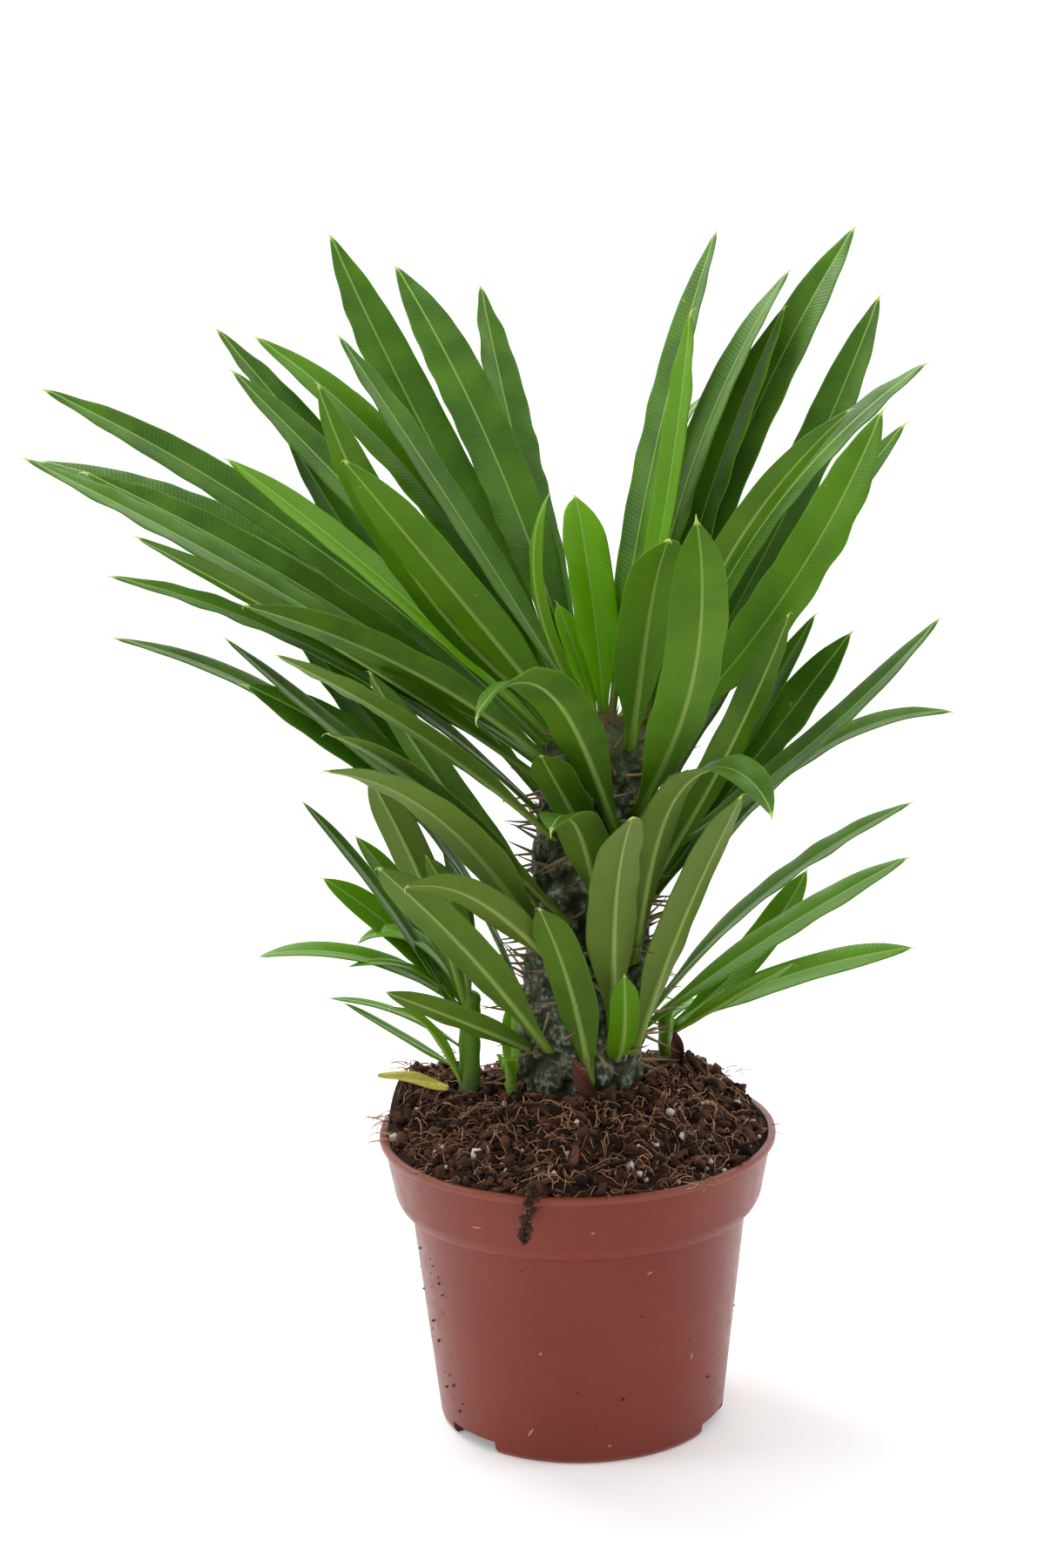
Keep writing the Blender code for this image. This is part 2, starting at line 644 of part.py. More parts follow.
def make_room(leaves, solids, rounds=6):
    """Turns and bends leaves by small amounts until none crosses another or a stem."""
    choices = ways()
    for turn in range(rounds):
        crossed = [
            leaf for leaf in leaves if not leaf.grown_on and crossings(leaf, leaves, solids)
        ]
        if not crossed:
            return 0
        for leaf in crossed:
            best = None
            for cost, change in choices:
                if best is not None and cost >= best[0]:
                    break
                leaf.lay(change)
                score = cost + (4 + 2 * turn) * crossings(leaf, leaves, solids)
                if best is None or score < best[0]:
                    best = (score, change)
            leaf.lay(best[1])
    return sum(crossings(leaf, leaves, solids) > 0 for leaf in leaves)


# ---------------------------------------------------------------- meshes


def blade_mesh(name, path, width, roll, blunt=False):
    """A strip two faces wide laid along the midrib, a shallow V in section."""
    left, middle, right, _ = blade_edges(path, width, roll, 0.0, blunt)
    rows = len(middle) - 1
    bm = bmesh.new()
    bmesh.ops.create_grid(bm, x_segments=2, y_segments=rows, size=0.5)
    for vert in bm.verts:
        row = int(round((vert.co.y + 0.5) * rows))
        line = (left, middle, right)[int(round((vert.co.x + 0.5) * 2))]
        vert.co = Vector(line[row]) * MM
    mesh = bpy.data.meshes.new(name)
    bm.to_mesh(mesh)
    bm.free()
    return mesh


def blade(name, path, width, roll, collection, finish=None, blunt=False):
    obj = add(name, blade_mesh(name, path, width, roll, blunt), collection, finish)
    shell = obj.modifiers.new("thickness", "SOLIDIFY")
    shell.thickness = LEAF_THICK * MM
    shell.offset = 0.0
    obj.data.shade_smooth()
    return obj


def spine(name, foot, ahead, collection):
    """A thin cone, from just inside the bark to its point."""
    mesh = bpy.data.meshes.new(name)
    bm = bmesh.new()
    bmesh.ops.create_cone(
        bm, cap_ends=True, segments=5, radius1=SPINE_R * MM, radius2=0.12 * MM,
        depth=(SPINE_LONG + 2.0) * MM,
    )
    bm.to_mesh(mesh)
    bm.free()
    obj = helper(add(name, mesh, collection))
    middle = Vector(foot) * MM + Vector(ahead) * (SPINE_LONG / 2 - 1.0) * MM
    obj.location = middle
    obj.rotation_mode = "QUATERNION"
    obj.rotation_quaternion = Vector(ahead).to_track_quat("Z", "Y")
    return obj


def build():
    clear_scene()
    parts = new_collection("potted_madagascar_palm")
    cutters = new_collection("cutters")

    terracotta = material("terracotta_plastic", (0.30, 0.066, 0.042), 0.42)
    peat = material("peat_soil", (0.035, 0.018, 0.010), 0.95)
    bark = material("grey_green_bark", (0.10, 0.12, 0.075), 0.6)
    green = material("leaf_green", (0.075, 0.19, 0.018), 0.4)
    shoot_green = material("shoot_green", (0.12, 0.24, 0.03), 0.45)
    yellow = material("yellowed_leaf", (0.50, 0.47, 0.08), 0.55)

    # Pot: floor, inner wall up to the lip, then down the collar and the body.
    inner = BODY_TOP_R - WALL
    profile = (
        (0.0, FLOOR),
        (BODY_FOOT_R - WALL - 1.5, FLOOR),
        (BODY_FOOT_R - WALL + 0.2, FLOOR + 2.0),
        (inner, COLLAR_FOOT_Z - 1.0),
        (COLLAR_FOOT_R - WALL - 0.6, COLLAR_FOOT_Z + 1.0),
        (COLLAR_LOW_R - WALL, COLLAR_FOOT_Z + 4.5),
        (COLLAR_TOP_R - WALL, POT_H - LIP_H - 0.3),
        (COLLAR_TOP_R - WALL + 0.2, POT_H - 0.3),
        (COLLAR_TOP_R - WALL + 0.6, POT_H),
        (RIM_R - 0.4, POT_H),
        (RIM_R, POT_H - 0.4),
        (RIM_R, POT_H - LIP_H + 0.2),
        (COLLAR_TOP_R, POT_H - LIP_H - 0.2),
        (COLLAR_LOW_R, COLLAR_FOOT_Z + 4.0),
        (COLLAR_FOOT_R + 0.9, COLLAR_FOOT_Z + 1.4),
        (COLLAR_FOOT_R - 0.8, COLLAR_FOOT_Z),
        (BODY_TOP_R, COLLAR_FOOT_Z - 0.6),
        (BODY_FOOT_R + 0.2, 1.6),
        (BODY_FOOT_R - 1.0, 0.0),
        (0.0, 0.0),
    )
    pot = turned("pot", profile, POT_STEPS, parts)
    pot.data.materials.append(terracotta)
    for i, side in enumerate(NOTCH_SIDES):
        bm = bmesh.new()
        bmesh.ops.create_cube(bm, size=1.0)
        bmesh.ops.scale(
            bm, vec=(NOTCH_DEEP * MM, NOTCH_WIDE * MM, (NOTCH_HIGH + 2.0) * MM), verts=bm.verts
        )
        mesh = bpy.data.meshes.new(f"notch_{i}")
        bm.to_mesh(mesh)
        bm.free()
        notch = helper(add(f"notch_{i}", mesh, cutters))
        turn = math.radians(side)
        out = (BODY_FOOT_R + 2.0 - NOTCH_DEEP / 2) * MM
        notch.location = (out * math.cos(turn), out * math.sin(turn), (NOTCH_HIGH / 2 - 1.0) * MM)
        notch.rotation_euler = (0.0, 0.0, turn)
        cut(pot, notch)

    # Soil: turned to the inside of the pot, then its top rings are raised to the mound.
    top_r = COLLAR_TOP_R - WALL - GAP - 0.3
    rings = [(top_r * i / SOIL_RINGS, POT_H) for i in range(SOIL_RINGS + 1)]
    side = (
        (top_r - 0.2, POT_H - LIP_H - 2.0),
        (COLLAR_LOW_R - WALL - GAP - 0.2, COLLAR_FOOT_Z + 4.5),
        (COLLAR_FOOT_R - WALL - GAP - 1.4, COLLAR_FOOT_Z + 1.0),
        (inner - GAP - 0.2, COLLAR_FOOT_Z - 2.0),
        (BODY_FOOT_R - WALL - GAP, FLOOR + 3.0),
        (BODY_FOOT_R - WALL - GAP - 2.0, FLOOR + GAP),
        (0.0, FLOOR + GAP),
    )
    guide = turned("soil_guide", tuple(rings) + side, SOIL_STEPS, cutters)
    mesh = evaluated_mesh(guide)
    bpy.data.objects.remove(guide)
    for vert in mesh.vertices:
        if vert.co.z > (POT_H - 0.5) * MM:
            x, y = vert.co.x / MM, vert.co.y / MM
            vert.co.z = soil_height(x, y) * MM
    soil = add("soil", mesh, parts, peat)

    # Stems, and the pockets that they leave in the soil.
    heights = [TRUNK_FOOT_Z + i * 6.0 for i in range(5)]
    heights += [104.0 + i * 8.0 for i in range(12)]
    heights += [200.0, 204.5, 209.0, 212.5, 215.0, TRUNK_TOP_Z]
    centres = [trunk_axis(z) for z in heights]
    trunk = bar("main_stem", centres, [trunk_radius(z) for z in heights], cutters, sides=20)
    main_stem = add("main_stem", trunk, parts, bark)
    low = [z for z in heights if z < 125.0]
    pocket = bar(
        "trunk_pocket",
        [trunk_axis(low[0] - GAP)] + [trunk_axis(z) for z in low],
        [trunk_radius(low[0]) + GAP] + [trunk_radius(z) + GAP + 0.1 for z in low],
        cutters,
        sides=20,
    )
    cut(soil, helper(add("trunk_pocket", pocket, cutters)))

    solids = {"main_stem": solid_tree(trunk)}
    shoots = {}
    for name, (foot, top, foot_r, top_r) in SHOOTS.items():
        spots, radii = [], []
        for i in range(5):
            spot, radius = shoot_at(name, foot[2] + (top[2] - foot[2]) * i / 4)
            spots.append(spot)
            radii.append(radius)
        spots.append(np.array(top) + np.array([0, 0, 0.6 * top_r]))
        radii.append(0.55 * top_r)
        mesh = bar(name, spots, radii, cutters, sides=10)
        shoots[name] = add(name, mesh, parts, shoot_green)
        solids[name] = solid_tree(mesh)
        sleeve = bar(
            name + "_pocket",
            [spots[0] - np.array([0, 0, GAP]), spots[0], spots[4]],
            [foot_r + GAP + 0.1, foot_r + GAP + 0.1, foot_r + GAP + 0.1],
            cutters,
            sides=12,
        )
        cut(soil, helper(add(name + "_pocket", sleeve, cutters)))
    solids["soil"] = solid_tree(evaluated_mesh(soil))
    solids["pot"] = solid_tree(evaluated_mesh(pot))

    # The fallen leaf follows the mound and sticks out past its edge.
    spots = []
    for (x, y), lift in zip(FALLEN, FALLEN_LIFT):
        spots.append(np.array([x, y, soil_height(x, y) + lift]))
    line = np.array(spots)
    ahead = np.gradient(line, axis=0)
    ahead /= np.linalg.norm(ahead, axis=1)[:, None]
    aside = np.cross((0.0, 0.0, 1.0), ahead)
    aside /= np.linalg.norm(aside, axis=1)[:, None]
    along = np.linspace(0, 1, LEAF_ROWS + 1)
    marks = np.linspace(0, 1, len(line))

    def spread(rows):
        return np.stack([np.interp(along, marks, rows[:, k]) for k in range(3)], -1)

    fallen_path = (along, spread(line), spread(aside), spread(np.cross(ahead, aside)), 30.0)
    solids["fallen_leaf"] = shell_tree(fallen_path, FALLEN_WIDE, 0.0, 0.3)

    # Leaves, each turned a little where it would cross a neighbour.
    leaves = [Leaf(row, "main_stem", False) for row in LEAVES]
    leaves += [Leaf(row, "main_stem", True) for row in TRUNK_LEAVES]
    for name, rows in SHOOT_LEAVES.items():
        leaves += [Leaf(row, name, True) for row in rows]
    left_over = make_room(leaves, solids)
    print("leaves that still cross something:", left_over)

    grown = {}
    for name in ("main_stem", *SHOOTS):
        grown[name] = bpy.data.collections.new("on_" + name)
        cutters.children.link(grown[name])
    for leaf in leaves:
        if leaf.grown_on:
            helper(
                blade(
                    leaf.name, leaf.path, leaf.width, leaf.turn, grown[leaf.stem],
                    blunt=leaf.blunt,
                )
            )
        else:
            blade(leaf.name, leaf.path, leaf.width, leaf.turn, parts, green, leaf.blunt)
    blade("fallen_leaf", fallen_path, FALLEN_WIDE, 0.0, parts, yellow)

    # Spines in pairs up the trunk, left out where one would meet a leaf.
    for i in range(SPINE_LEVELS):
        z = SPINE_LOW_Z + (SPINE_HIGH_Z - SPINE_LOW_Z) * i / (SPINE_LEVELS - 1)
        side = SPINE_TURN * i
        for spread_by in (-16.0, 16.0):
            turn = math.radians(side + spread_by / 4)
            aim = math.radians(side + spread_by)
            tilt = math.radians(12.0 + 10.0 * math.sin(1.7 * i))
            ahead = np.array(
                [math.cos(aim) * math.cos(tilt), math.sin(aim) * math.cos(tilt), math.sin(tilt)]
            )
            foot = trunk_axis(z) + (trunk_radius(z) - 0.3) * np.array(
                [math.cos(turn), math.sin(turn), 0.0]
            )
            end = foot + ahead * (SPINE_LONG + 1.0)
            clear = True
            for leaf in leaves:
                for share in (0.1, 0.35, 0.6, 0.85, 1.0):
                    spot = foot + (end - foot) * share
                    if (spot < leaf.loose[1] - 2).any() or (spot > leaf.loose[2] + 2).any():
                        continue
                    near = leaf.loose[0].find_nearest(tuple(spot))
                    if near[3] is not None and near[3] < SPINE_R + SPINE_ROOM:
                        clear = False
            for name in ("pup_left", "pup_right", "pup_small", "soil"):
                near = solids[name][0].find_nearest(tuple(end))
                if near[3] is not None and near[3] < 2.0:
                    clear = False
            if clear:
                spine(f"spine_{i:02d}_{spread_by:+.0f}", foot, ahead, grown["main_stem"])

    unite(main_stem, grown["main_stem"])
    for name, shoot in shoots.items():
        unite(shoot, grown[name])

    # The trunk and the shoots keep their place over the leaf-free foot.
    for obj in (pot, soil, main_stem, *shoots.values()):
        obj.data.shade_smooth()
        obj.data.set_sharp_from_angle(angle=math.radians(40))
    return leaves


build()
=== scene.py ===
"""How the potted Madagascar palm looks: fine leaves, spiny bark, loose soil and a moulded pot.

Metres, +Z up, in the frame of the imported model: the origin is the middle of the
pot's foot and -Y is the front. Lengths in the tables are in millimetres and
angles in degrees, and MM turns them into metres where the meshes are made.
"""

import json
import math
import random

import bmesh
import bpy
import numpy as np
from mathutils import Matrix, Vector, noise
from mathutils.bvhtree import BVHTree
from mathutils.kdtree import KDTree

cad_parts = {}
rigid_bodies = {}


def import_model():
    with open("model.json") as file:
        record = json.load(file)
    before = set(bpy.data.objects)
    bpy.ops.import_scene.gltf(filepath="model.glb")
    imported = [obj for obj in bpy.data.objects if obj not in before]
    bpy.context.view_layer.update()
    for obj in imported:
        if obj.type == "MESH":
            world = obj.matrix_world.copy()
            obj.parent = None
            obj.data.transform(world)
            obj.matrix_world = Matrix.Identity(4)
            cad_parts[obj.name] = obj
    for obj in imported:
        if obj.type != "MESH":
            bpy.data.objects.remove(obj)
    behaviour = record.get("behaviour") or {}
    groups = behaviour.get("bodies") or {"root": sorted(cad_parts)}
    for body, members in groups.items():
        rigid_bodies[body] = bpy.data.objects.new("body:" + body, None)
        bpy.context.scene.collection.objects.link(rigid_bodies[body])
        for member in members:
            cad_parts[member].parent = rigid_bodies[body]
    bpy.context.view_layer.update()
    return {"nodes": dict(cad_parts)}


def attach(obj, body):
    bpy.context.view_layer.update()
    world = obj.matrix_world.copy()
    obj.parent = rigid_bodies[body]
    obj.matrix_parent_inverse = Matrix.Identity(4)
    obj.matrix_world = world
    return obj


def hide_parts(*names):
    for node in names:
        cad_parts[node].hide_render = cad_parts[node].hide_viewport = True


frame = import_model()

MM = 0.001

# ---------------------------------------------------------------- the plant's schedule

# Trunk, by height over the ground plane.
TRUNK_FOOT_Z = 76.0
TRUNK_TOP_Z = 216.0
TRUNK_Y = 14.0
TRUNK_LEAN = 10.0 / 116.0
TRUNK_R_LOW = 19.0
TRUNK_R_HIGH = 16.5
TRUNK_DOME = 12.0
SEAT = 1.15

# Side shoots: foot, top, radius at the foot, radius at the top.
SHOOTS = {
    "pup_left": ((-34.0, 8.0, 84.0), (-31.5, 9.0, 129.0), 3.4, 3.2),
    "pup_right": ((27.0, 31.0, 84.0), (28.0, 31.0, 117.0), 2.5, 2.1),
    "pup_small": ((-19.5, -1.0, 88.0), (-19.5, 0.0, 107.0), 2.5, 1.8),
}

LEAF_FOLD = 14.0
LEAF_THICK = 0.9
LEAF_ROWS = 8
SMALL_LEAF_ROWS = 5

# One row a leaf of the trunk: name, height of the seat, heading of the leaf, its length,
# the tip's place in the front view, a place its midrib passes there, the side that shows
# (U the upper, N the under, E the edge), the breadth that shows, the blade's width, and
# how late the leaf bends (1 evenly, 3 mostly near the tip).
LEAVES = (
    ("leaf_01", 214, 178, 140, (268, 427), (340, 500), "U", 40, 13, 1),
    ("leaf_02", 211, 148, 160, (295, 388), (420, 462), "U", 40, 14, 1),
    ("leaf_03", 211, 215, 125, (397, 530), (480, 615), "N", 54, 16, 1),
    ("leaf_04", 211, 114, 168, (455, 307), (560, 460), "U", 58, 16, 1),
    ("leaf_05", 213, 205, 135, (366, 443), (420, 570), "N", 42, 14, 1),
    ("leaf_06", 209, 188, 140, (262, 528), (380, 617), "U", 32, 12, 1),
    ("leaf_07", 212, 124, 186, (380, 272), (470, 460), "U", 58, 16, 3),
    ("leaf_08", 214, 50, 125, (793, 360), (775, 470), "U", 38, 13, 1),
    ("leaf_09", 202, 188, 195, (30, 527), (200, 613), "U", 26, 14, 1),
    ("leaf_10", 207, 352, 125, (1012, 474), (930, 640), "U", 60, 17, 1),
    ("leaf_11", 206, 128, 152, (402, 446), (490, 570), "U", 30, 13, 1),
    ("leaf_12", 206, 168, 198, (52, 448), (280, 573), "U", 46, 15, 1),
    ("leaf_13", 204, 180, 182, (98, 543), (220, 604), "U", 36, 14, 1),
    ("leaf_14", 208, 156, 178, (250, 379), (310, 450), "U", 40, 14, 1),
    ("leaf_15", 213, 68, 160, (822, 267), (762, 430), "E", 32, 14, 1),
    ("leaf_16", 208, 98, 165, (552, 330), (570, 420), "U", 40, 15, 1),
    ("leaf_17", 209, 282, 88, (767, 620), (738, 754), "N", 58, 17, 3),
    ("leaf_18", 211, 50, 165, (905, 312), (810, 470), "U", 36, 14, 1),
    ("leaf_19", 204, 212, 125, (283, 695), (420, 745), "N", 34, 13, 1),
    ("leaf_20", 207, 36, 165, (900, 354), (850, 480), "U", 38, 14, 1),
    ("leaf_21", 206, 58, 130, (817, 446), (745, 567), "U", 30, 12, 1),
    ("leaf_22", 205, 35, 190, (980, 263), (900, 410), "U", 54, 16, 1),
    ("leaf_23", 190, 150, 120, (330, 500), (380, 590), "U", 36, 13, 1),
    ("leaf_24", 208, 338, 130, (975, 471), (890, 560), "N", 34, 13, 1),
    ("leaf_25", 203, 28, 175, (1009, 342), (940, 510), "U", 46, 15, 1),
    ("leaf_26", 201, 172, 205, (47, 530), (180, 568), "U", 34, 14, 1),
    ("leaf_27", 184, 250, 108, (547, 825), (675, 865), "N", 46, 15, 3),
    ("leaf_28", 188, 196, 170, (128, 662), (290, 714), "E", 18, 12, 1),
    ("leaf_29", 182, 235, 62, (622, 868), (637, 895), "N", 44, 13, 2),
    ("leaf_30", 185, 0, 150, (1038, 488), (880, 710), "U", 46, 14, 1),
    ("leaf_31", 182, 210, 125, (318, 752), (460, 833), "N", 16, 10, 1),
    ("leaf_32", 198, 12, 165, (1062, 418), (985, 480), "E", 30, 13, 1),
    ("leaf_33", 190, 292, 108, (800, 600), (803, 720), "N", 62, 18, 2),
    ("leaf_34", 172, 350, 135, (1078, 711), (920, 862), "E", 26, 12, 1),
    ("leaf_35", 198, 203, 165, (158, 617), (280, 682), "N", 22, 12, 1),
    ("leaf_36", 166, 340, 95, (905, 706), (845, 845), "N", 40, 13, 1),
    ("leaf_37", 162, 255, 75, (633, 952), (692, 995), "N", 48, 15, 3),
    ("leaf_38", 166, 193, 125, (260, 734), (315, 780), "U", 22, 10, 1),
    ("leaf_39", 157, 225, 120, (376, 842), (530, 938), "N", 24, 11, 3),
    ("leaf_40", 158, 358, 112, (976, 728), (900, 850), "U", 50, 15, 1),
    ("leaf_41", 155, 170, 110, (335, 715), (410, 810), "U", 46, 15, 1),
    ("leaf_42", 150, 218, 122, (375, 885), (510, 945), "N", 50, 15, 3),
    ("leaf_43", 152, 186, 130, (284, 787), (390, 846), "U", 50, 14, 1),
    ("leaf_44", 144, 232, 88, (467, 1018), (560, 1042), "N", 36, 12, 3),
    ("leaf_45", 142, 352, 125, (1092, 817), (940, 866), "E", 15, 11, 2),
    ("leaf_46", 143, 300, 100, (886, 935), (775, 990), "N", 44, 15, 3),
    ("leaf_47", 130, 190, 160, (132, 733), (240, 768), "E", 17, 12, 1),
    ("leaf_48", 122, 272, 95, (725, 939), (713, 1040), "N", 58, 17, 1),
    ("leaf_49", 122, 350, 120, (1045, 922), (880, 1025), "E", 16, 11, 1),
    ("leaf_50", 117, 222, 105, (436, 997), (530, 1085), "N", 44, 14, 1),
    ("leaf_51", 118, 5, 110, (1041, 985), (930, 1048), "U", 30, 11, 1),
    ("leaf_52", 107, 262, 72, (620, 1044), (658, 1145), "N", 42, 13, 1),
    ("leaf_53", 114, 305, 95, (850, 915), (778, 1060), "N", 56, 16, 1),
)

# Small and mostly hidden leaves of the trunk, grown onto it in the same solid.
TRUNK_LEAVES = (
    ("spear", 214, 240, 72, (630, 568), (615, 650), "E", 14, 6, 3),
    ("short_1", 214, 120, 42, (640, 693), (655, 735), "U", 24, 8, 1),
    ("short_2", 213, 95, 72, (661, 571), (680, 690), "U", 48, 15, 1),
    ("short_3", 214, 146, 135, (390, 387), (415, 425), "U", 30, 13, 1),
    ("short_4", 152, 222, 98, (425, 772), (480, 860), "N", 34, 13, 1),
    ("short_5", 150, 8, 120, (935, 707), (880, 800), "U", 28, 11, 1),
    ("short_6", 111, 222, 78, (444, 1139), (520, 1168), "N", 26, 9, 1),
    ("short_7", 107, 285, 42, (717, 1121), (718, 1200), "N", 31, 9, 1),
)

# Leaves of the side shoots, grown onto them: the seat is a height on the shoot.
SHOOT_LEAVES = {
    "pup_left": (
        ("a_01", 126, 182, 66, (298, 1098), (420, 1101), "U", 20, 9, 1),
        ("a_02", 124, 190, 38, (400, 1110), (485, 1117), "E", 9, 5, 1),
        ("a_03", 128, 178, 40, (411, 1083), (490, 1087), "U", 16, 8, 2),
        ("a_04", 128, 170, 58, (372, 1009), (445, 1062), "U", 34, 10, 1),
        ("a_05", 120, 190, 80, (348, 921), (420, 1006), "E", 14, 7, 1),
        ("a_06", 128, 150, 62, (409, 961), (470, 1040), "U", 26, 9, 1),
        ("a_07", 128, 215, 78, (425, 893), (480, 1000), "N", 46, 12, 1),
        ("a_08", 129, 240, 46, (490, 983), (525, 1045), "N", 28, 8, 1),
        ("a_09", 130, 110, 50, (508, 955), (535, 1060), "U", 20, 7, 1),
        ("a_10", 114, 185, 46, (378, 1146), (470, 1167), "E", 8, 5, 1),
        ("a_11", 107, 190, 38, (395, 1151), (440, 1178), "E", 8, 5, 1),
        ("a_12", 102, 225, 34, (449, 1156), (500, 1188), "N", 10, 5, 2),
    ),
    "pup_right": (
        ("b_01", 112, 12, 60, (926, 1000), (855, 1105), "U", 38, 11, 1),
        ("b_02", 112, 355, 78, (1046, 1088), (920, 1116), "U", 30, 11, 1),
        ("b_03", 110, 330, 42, (909, 1107), (840, 1145), "N", 14, 8, 2),
        ("b_04", 114, 40, 34, (806, 1150), (785, 1152), "U", 10, 6, 1),
        ("b_05", 112, 100, 22, (770, 1148), (768, 1170), "U", 10, 5, 1),
        ("b_06", 104, 262, 12, (770, 1170), (766, 1190), "N", 9, 5, 1),
    ),
    "pup_small": (
        ("c_01", 105, 95, 28, (588, 1152), (588, 1190), "U", 18, 6, 1),
        ("c_02", 106, 300, 20, (578, 1218), (585, 1235), "N", 14, 6, 2),
    ),
}

# The side of the trunk where a leaf starts, where it isn't the side that it leans to.
SEAT_SIDES = {
    "leaf_03": 240, "leaf_04": 112, "leaf_12": 168, "leaf_15": 70, "leaf_16": 102,
    "leaf_17": 300, "leaf_18": 52, "leaf_20": 38, "leaf_21": 56, "leaf_26": 162,
    "leaf_27": 300, "leaf_29": 265, "leaf_31": 225, "leaf_33": 315, "leaf_37": 290,
    "leaf_39": 250, "leaf_42": 225, "leaf_44": 240, "leaf_46": 330, "leaf_48": 310,
    "leaf_50": 240, "leaf_52": 280, "leaf_53": 325, "short_1": 112, "short_2": 88,
    "short_7": 320,
}

# Leaves with a rounded end.
BLUNT = (
    "leaf_17", "leaf_33", "leaf_37", "leaf_48", "leaf_52", "leaf_29", "leaf_53", "leaf_46",
    "leaf_42", "leaf_44", "leaf_50", "short_2", "short_7", "a_07", "a_08",
)

# A yellowed leaf that has dropped on the soil's left shoulder, from stalk to tip.
FALLEN = ((-39.0, 5.0), (-44.0, 6.0), (-49.5, 7.0), (-55.0, 8.0), (-60.5, 9.0))
FALLEN_LIFT = (1.3, 2.4, 4.6, 7.4, 10.5)
FALLEN_WIDE = 5.0

# ---------------------------------------------------------------- shapes of the plant


def trunk_axis(z):
    return np.array([TRUNK_LEAN * (z - 100.0), TRUNK_Y, z])


def trunk_radius(z):
    radius = TRUNK_R_LOW + (TRUNK_R_HIGH - TRUNK_R_LOW) * (z - 100.0) / 116.0
    if z < 100.0:
        radius = TRUNK_R_LOW - 5.0 * ((100.0 - z) / 24.0) ** 2
    dome = (z - TRUNK_TOP_Z + TRUNK_DOME) / TRUNK_DOME
    if dome > 0:
        radius *= math.sqrt(max(0.02, 1.0 - dome * dome))
    return radius


def shoot_at(name, z):
    foot, top, foot_r, top_r = SHOOTS[name]
    along = (z - foot[2]) / (top[2] - foot[2])
    middle = np.array(foot) + (np.array(top) - np.array(foot)) * along
    return middle, foot_r + (top_r - foot_r) * along


def soil_height(x, y):
    """The mound's height: a low dome, a high left shoulder and a lower one behind at the right."""
    dome = 14.5 * (1.0 - (x * x + (y - 4.0) ** 2) / 60.0**2)
    left = 11.0 * np.exp(-((x + 52.0) ** 2 + (y - 20.0) ** 2) / (2 * 12.5**2))
    right = 5.5 * np.exp(-((x - 36.0) ** 2 + (y - 38.0) ** 2) / (2 * 15.0**2))
    return 89.5 + dome + left + right


def blade_width(along, blunt=False):
    """Half width over its greatest, along the leaf: a stalk, a long strap, then the end."""
    grow = np.clip((along - 0.03) / 0.40, 0, 1)
    stalk = 0.20 + 0.80 * (grow * grow * (3 - 2 * grow))
    if blunt:
        return stalk * (1 - 0.93 * np.clip((along - 0.66) / 0.34, 0, 1) ** 3.2)
    return stalk * (1 - 0.95 * np.clip((along - 0.58) / 0.42, 0, 1) ** 2.5)


def midrib(seat, tip, rise, swing, late, rows, each_row=5):
    """Points and directions of a midrib that leaves its seat at the rise and ends at the tip.

    The rise changes along the leaf to a fall at the tip, and the fall is the one
    that lets the leaf reach its tip.
    """
    reach = np.array(tip, float) - seat
    flat = math.hypot(reach[0], reach[1])
    steps = (np.arange(rows * each_row) + 0.5) / (rows * each_row)
    falls = np.arange(-110.0, 130.1, 0.5)
    lift = np.radians(rise + (falls[:, None] - rise) * steps**late)
    turn = np.radians(swing * (steps - 0.5))
    ahead = (np.cos(lift) * np.cos(turn)).mean(1)
    aside = (np.cos(lift) * np.sin(turn)).mean(1)
    up = np.sin(lift).mean(1)
    missed = np.abs(np.arctan2(up, ahead) - math.atan2(reach[2], flat))
    pick = int(np.argmin(np.round(missed + 2e-4 * np.abs(falls - rise), 9)))
    span = math.sqrt(ahead[pick] ** 2 + aside[pick] ** 2 + up[pick] ** 2)
    length = math.sqrt(float(reach @ reach)) / span
    heading = math.atan2(reach[1], reach[0]) - math.atan2(aside[pick], ahead[pick])
    rate = lift[pick]
    each = np.stack(
        [
            np.cos(rate) * np.cos(heading + turn),
            np.cos(rate) * np.sin(heading + turn),
            np.sin(rate),
        ],
        -1,
    ) * (length / len(steps))
    points = np.concatenate([[seat], seat + np.cumsum(each, 0)])
    along = np.linspace(0, 1, len(points))
    points += (np.array(tip, float) - points[-1]) * (along**2)[:, None]
    lift = np.radians(rise + (falls[pick] - rise) * along**late)
    turn = heading + np.radians(swing * (along - 0.5))
    ahead = np.stack([np.cos(lift) * np.cos(turn), np.cos(lift) * np.sin(turn), np.sin(lift)], -1)
    aside = np.stack([-np.sin(turn), np.cos(turn), 0 * turn], -1)
    every = np.arange(0, len(points), each_row)
    return along[every], points[every], aside[every], np.cross(ahead, aside)[every], length


def leaf_seat(z, side, stem, grown_on):
    """Where the stalk starts: SEAT off the bark, or inside it where the leaf is grown on."""
    if stem == "main_stem":
        middle, radius = trunk_axis(z), trunk_radius(z)
    else:
        middle, radius = shoot_at(stem, z)
    out, up = 0.6 * radius, 0.0
    if not grown_on:
        slope = math.atan2(trunk_radius(z - 0.5) - trunk_radius(z + 0.5), 1.0)
        out, up = radius + SEAT * math.cos(slope), SEAT * math.sin(slope)
    turn = math.radians(side)
    return middle + np.array([out * math.cos(turn), out * math.sin(turn), up])


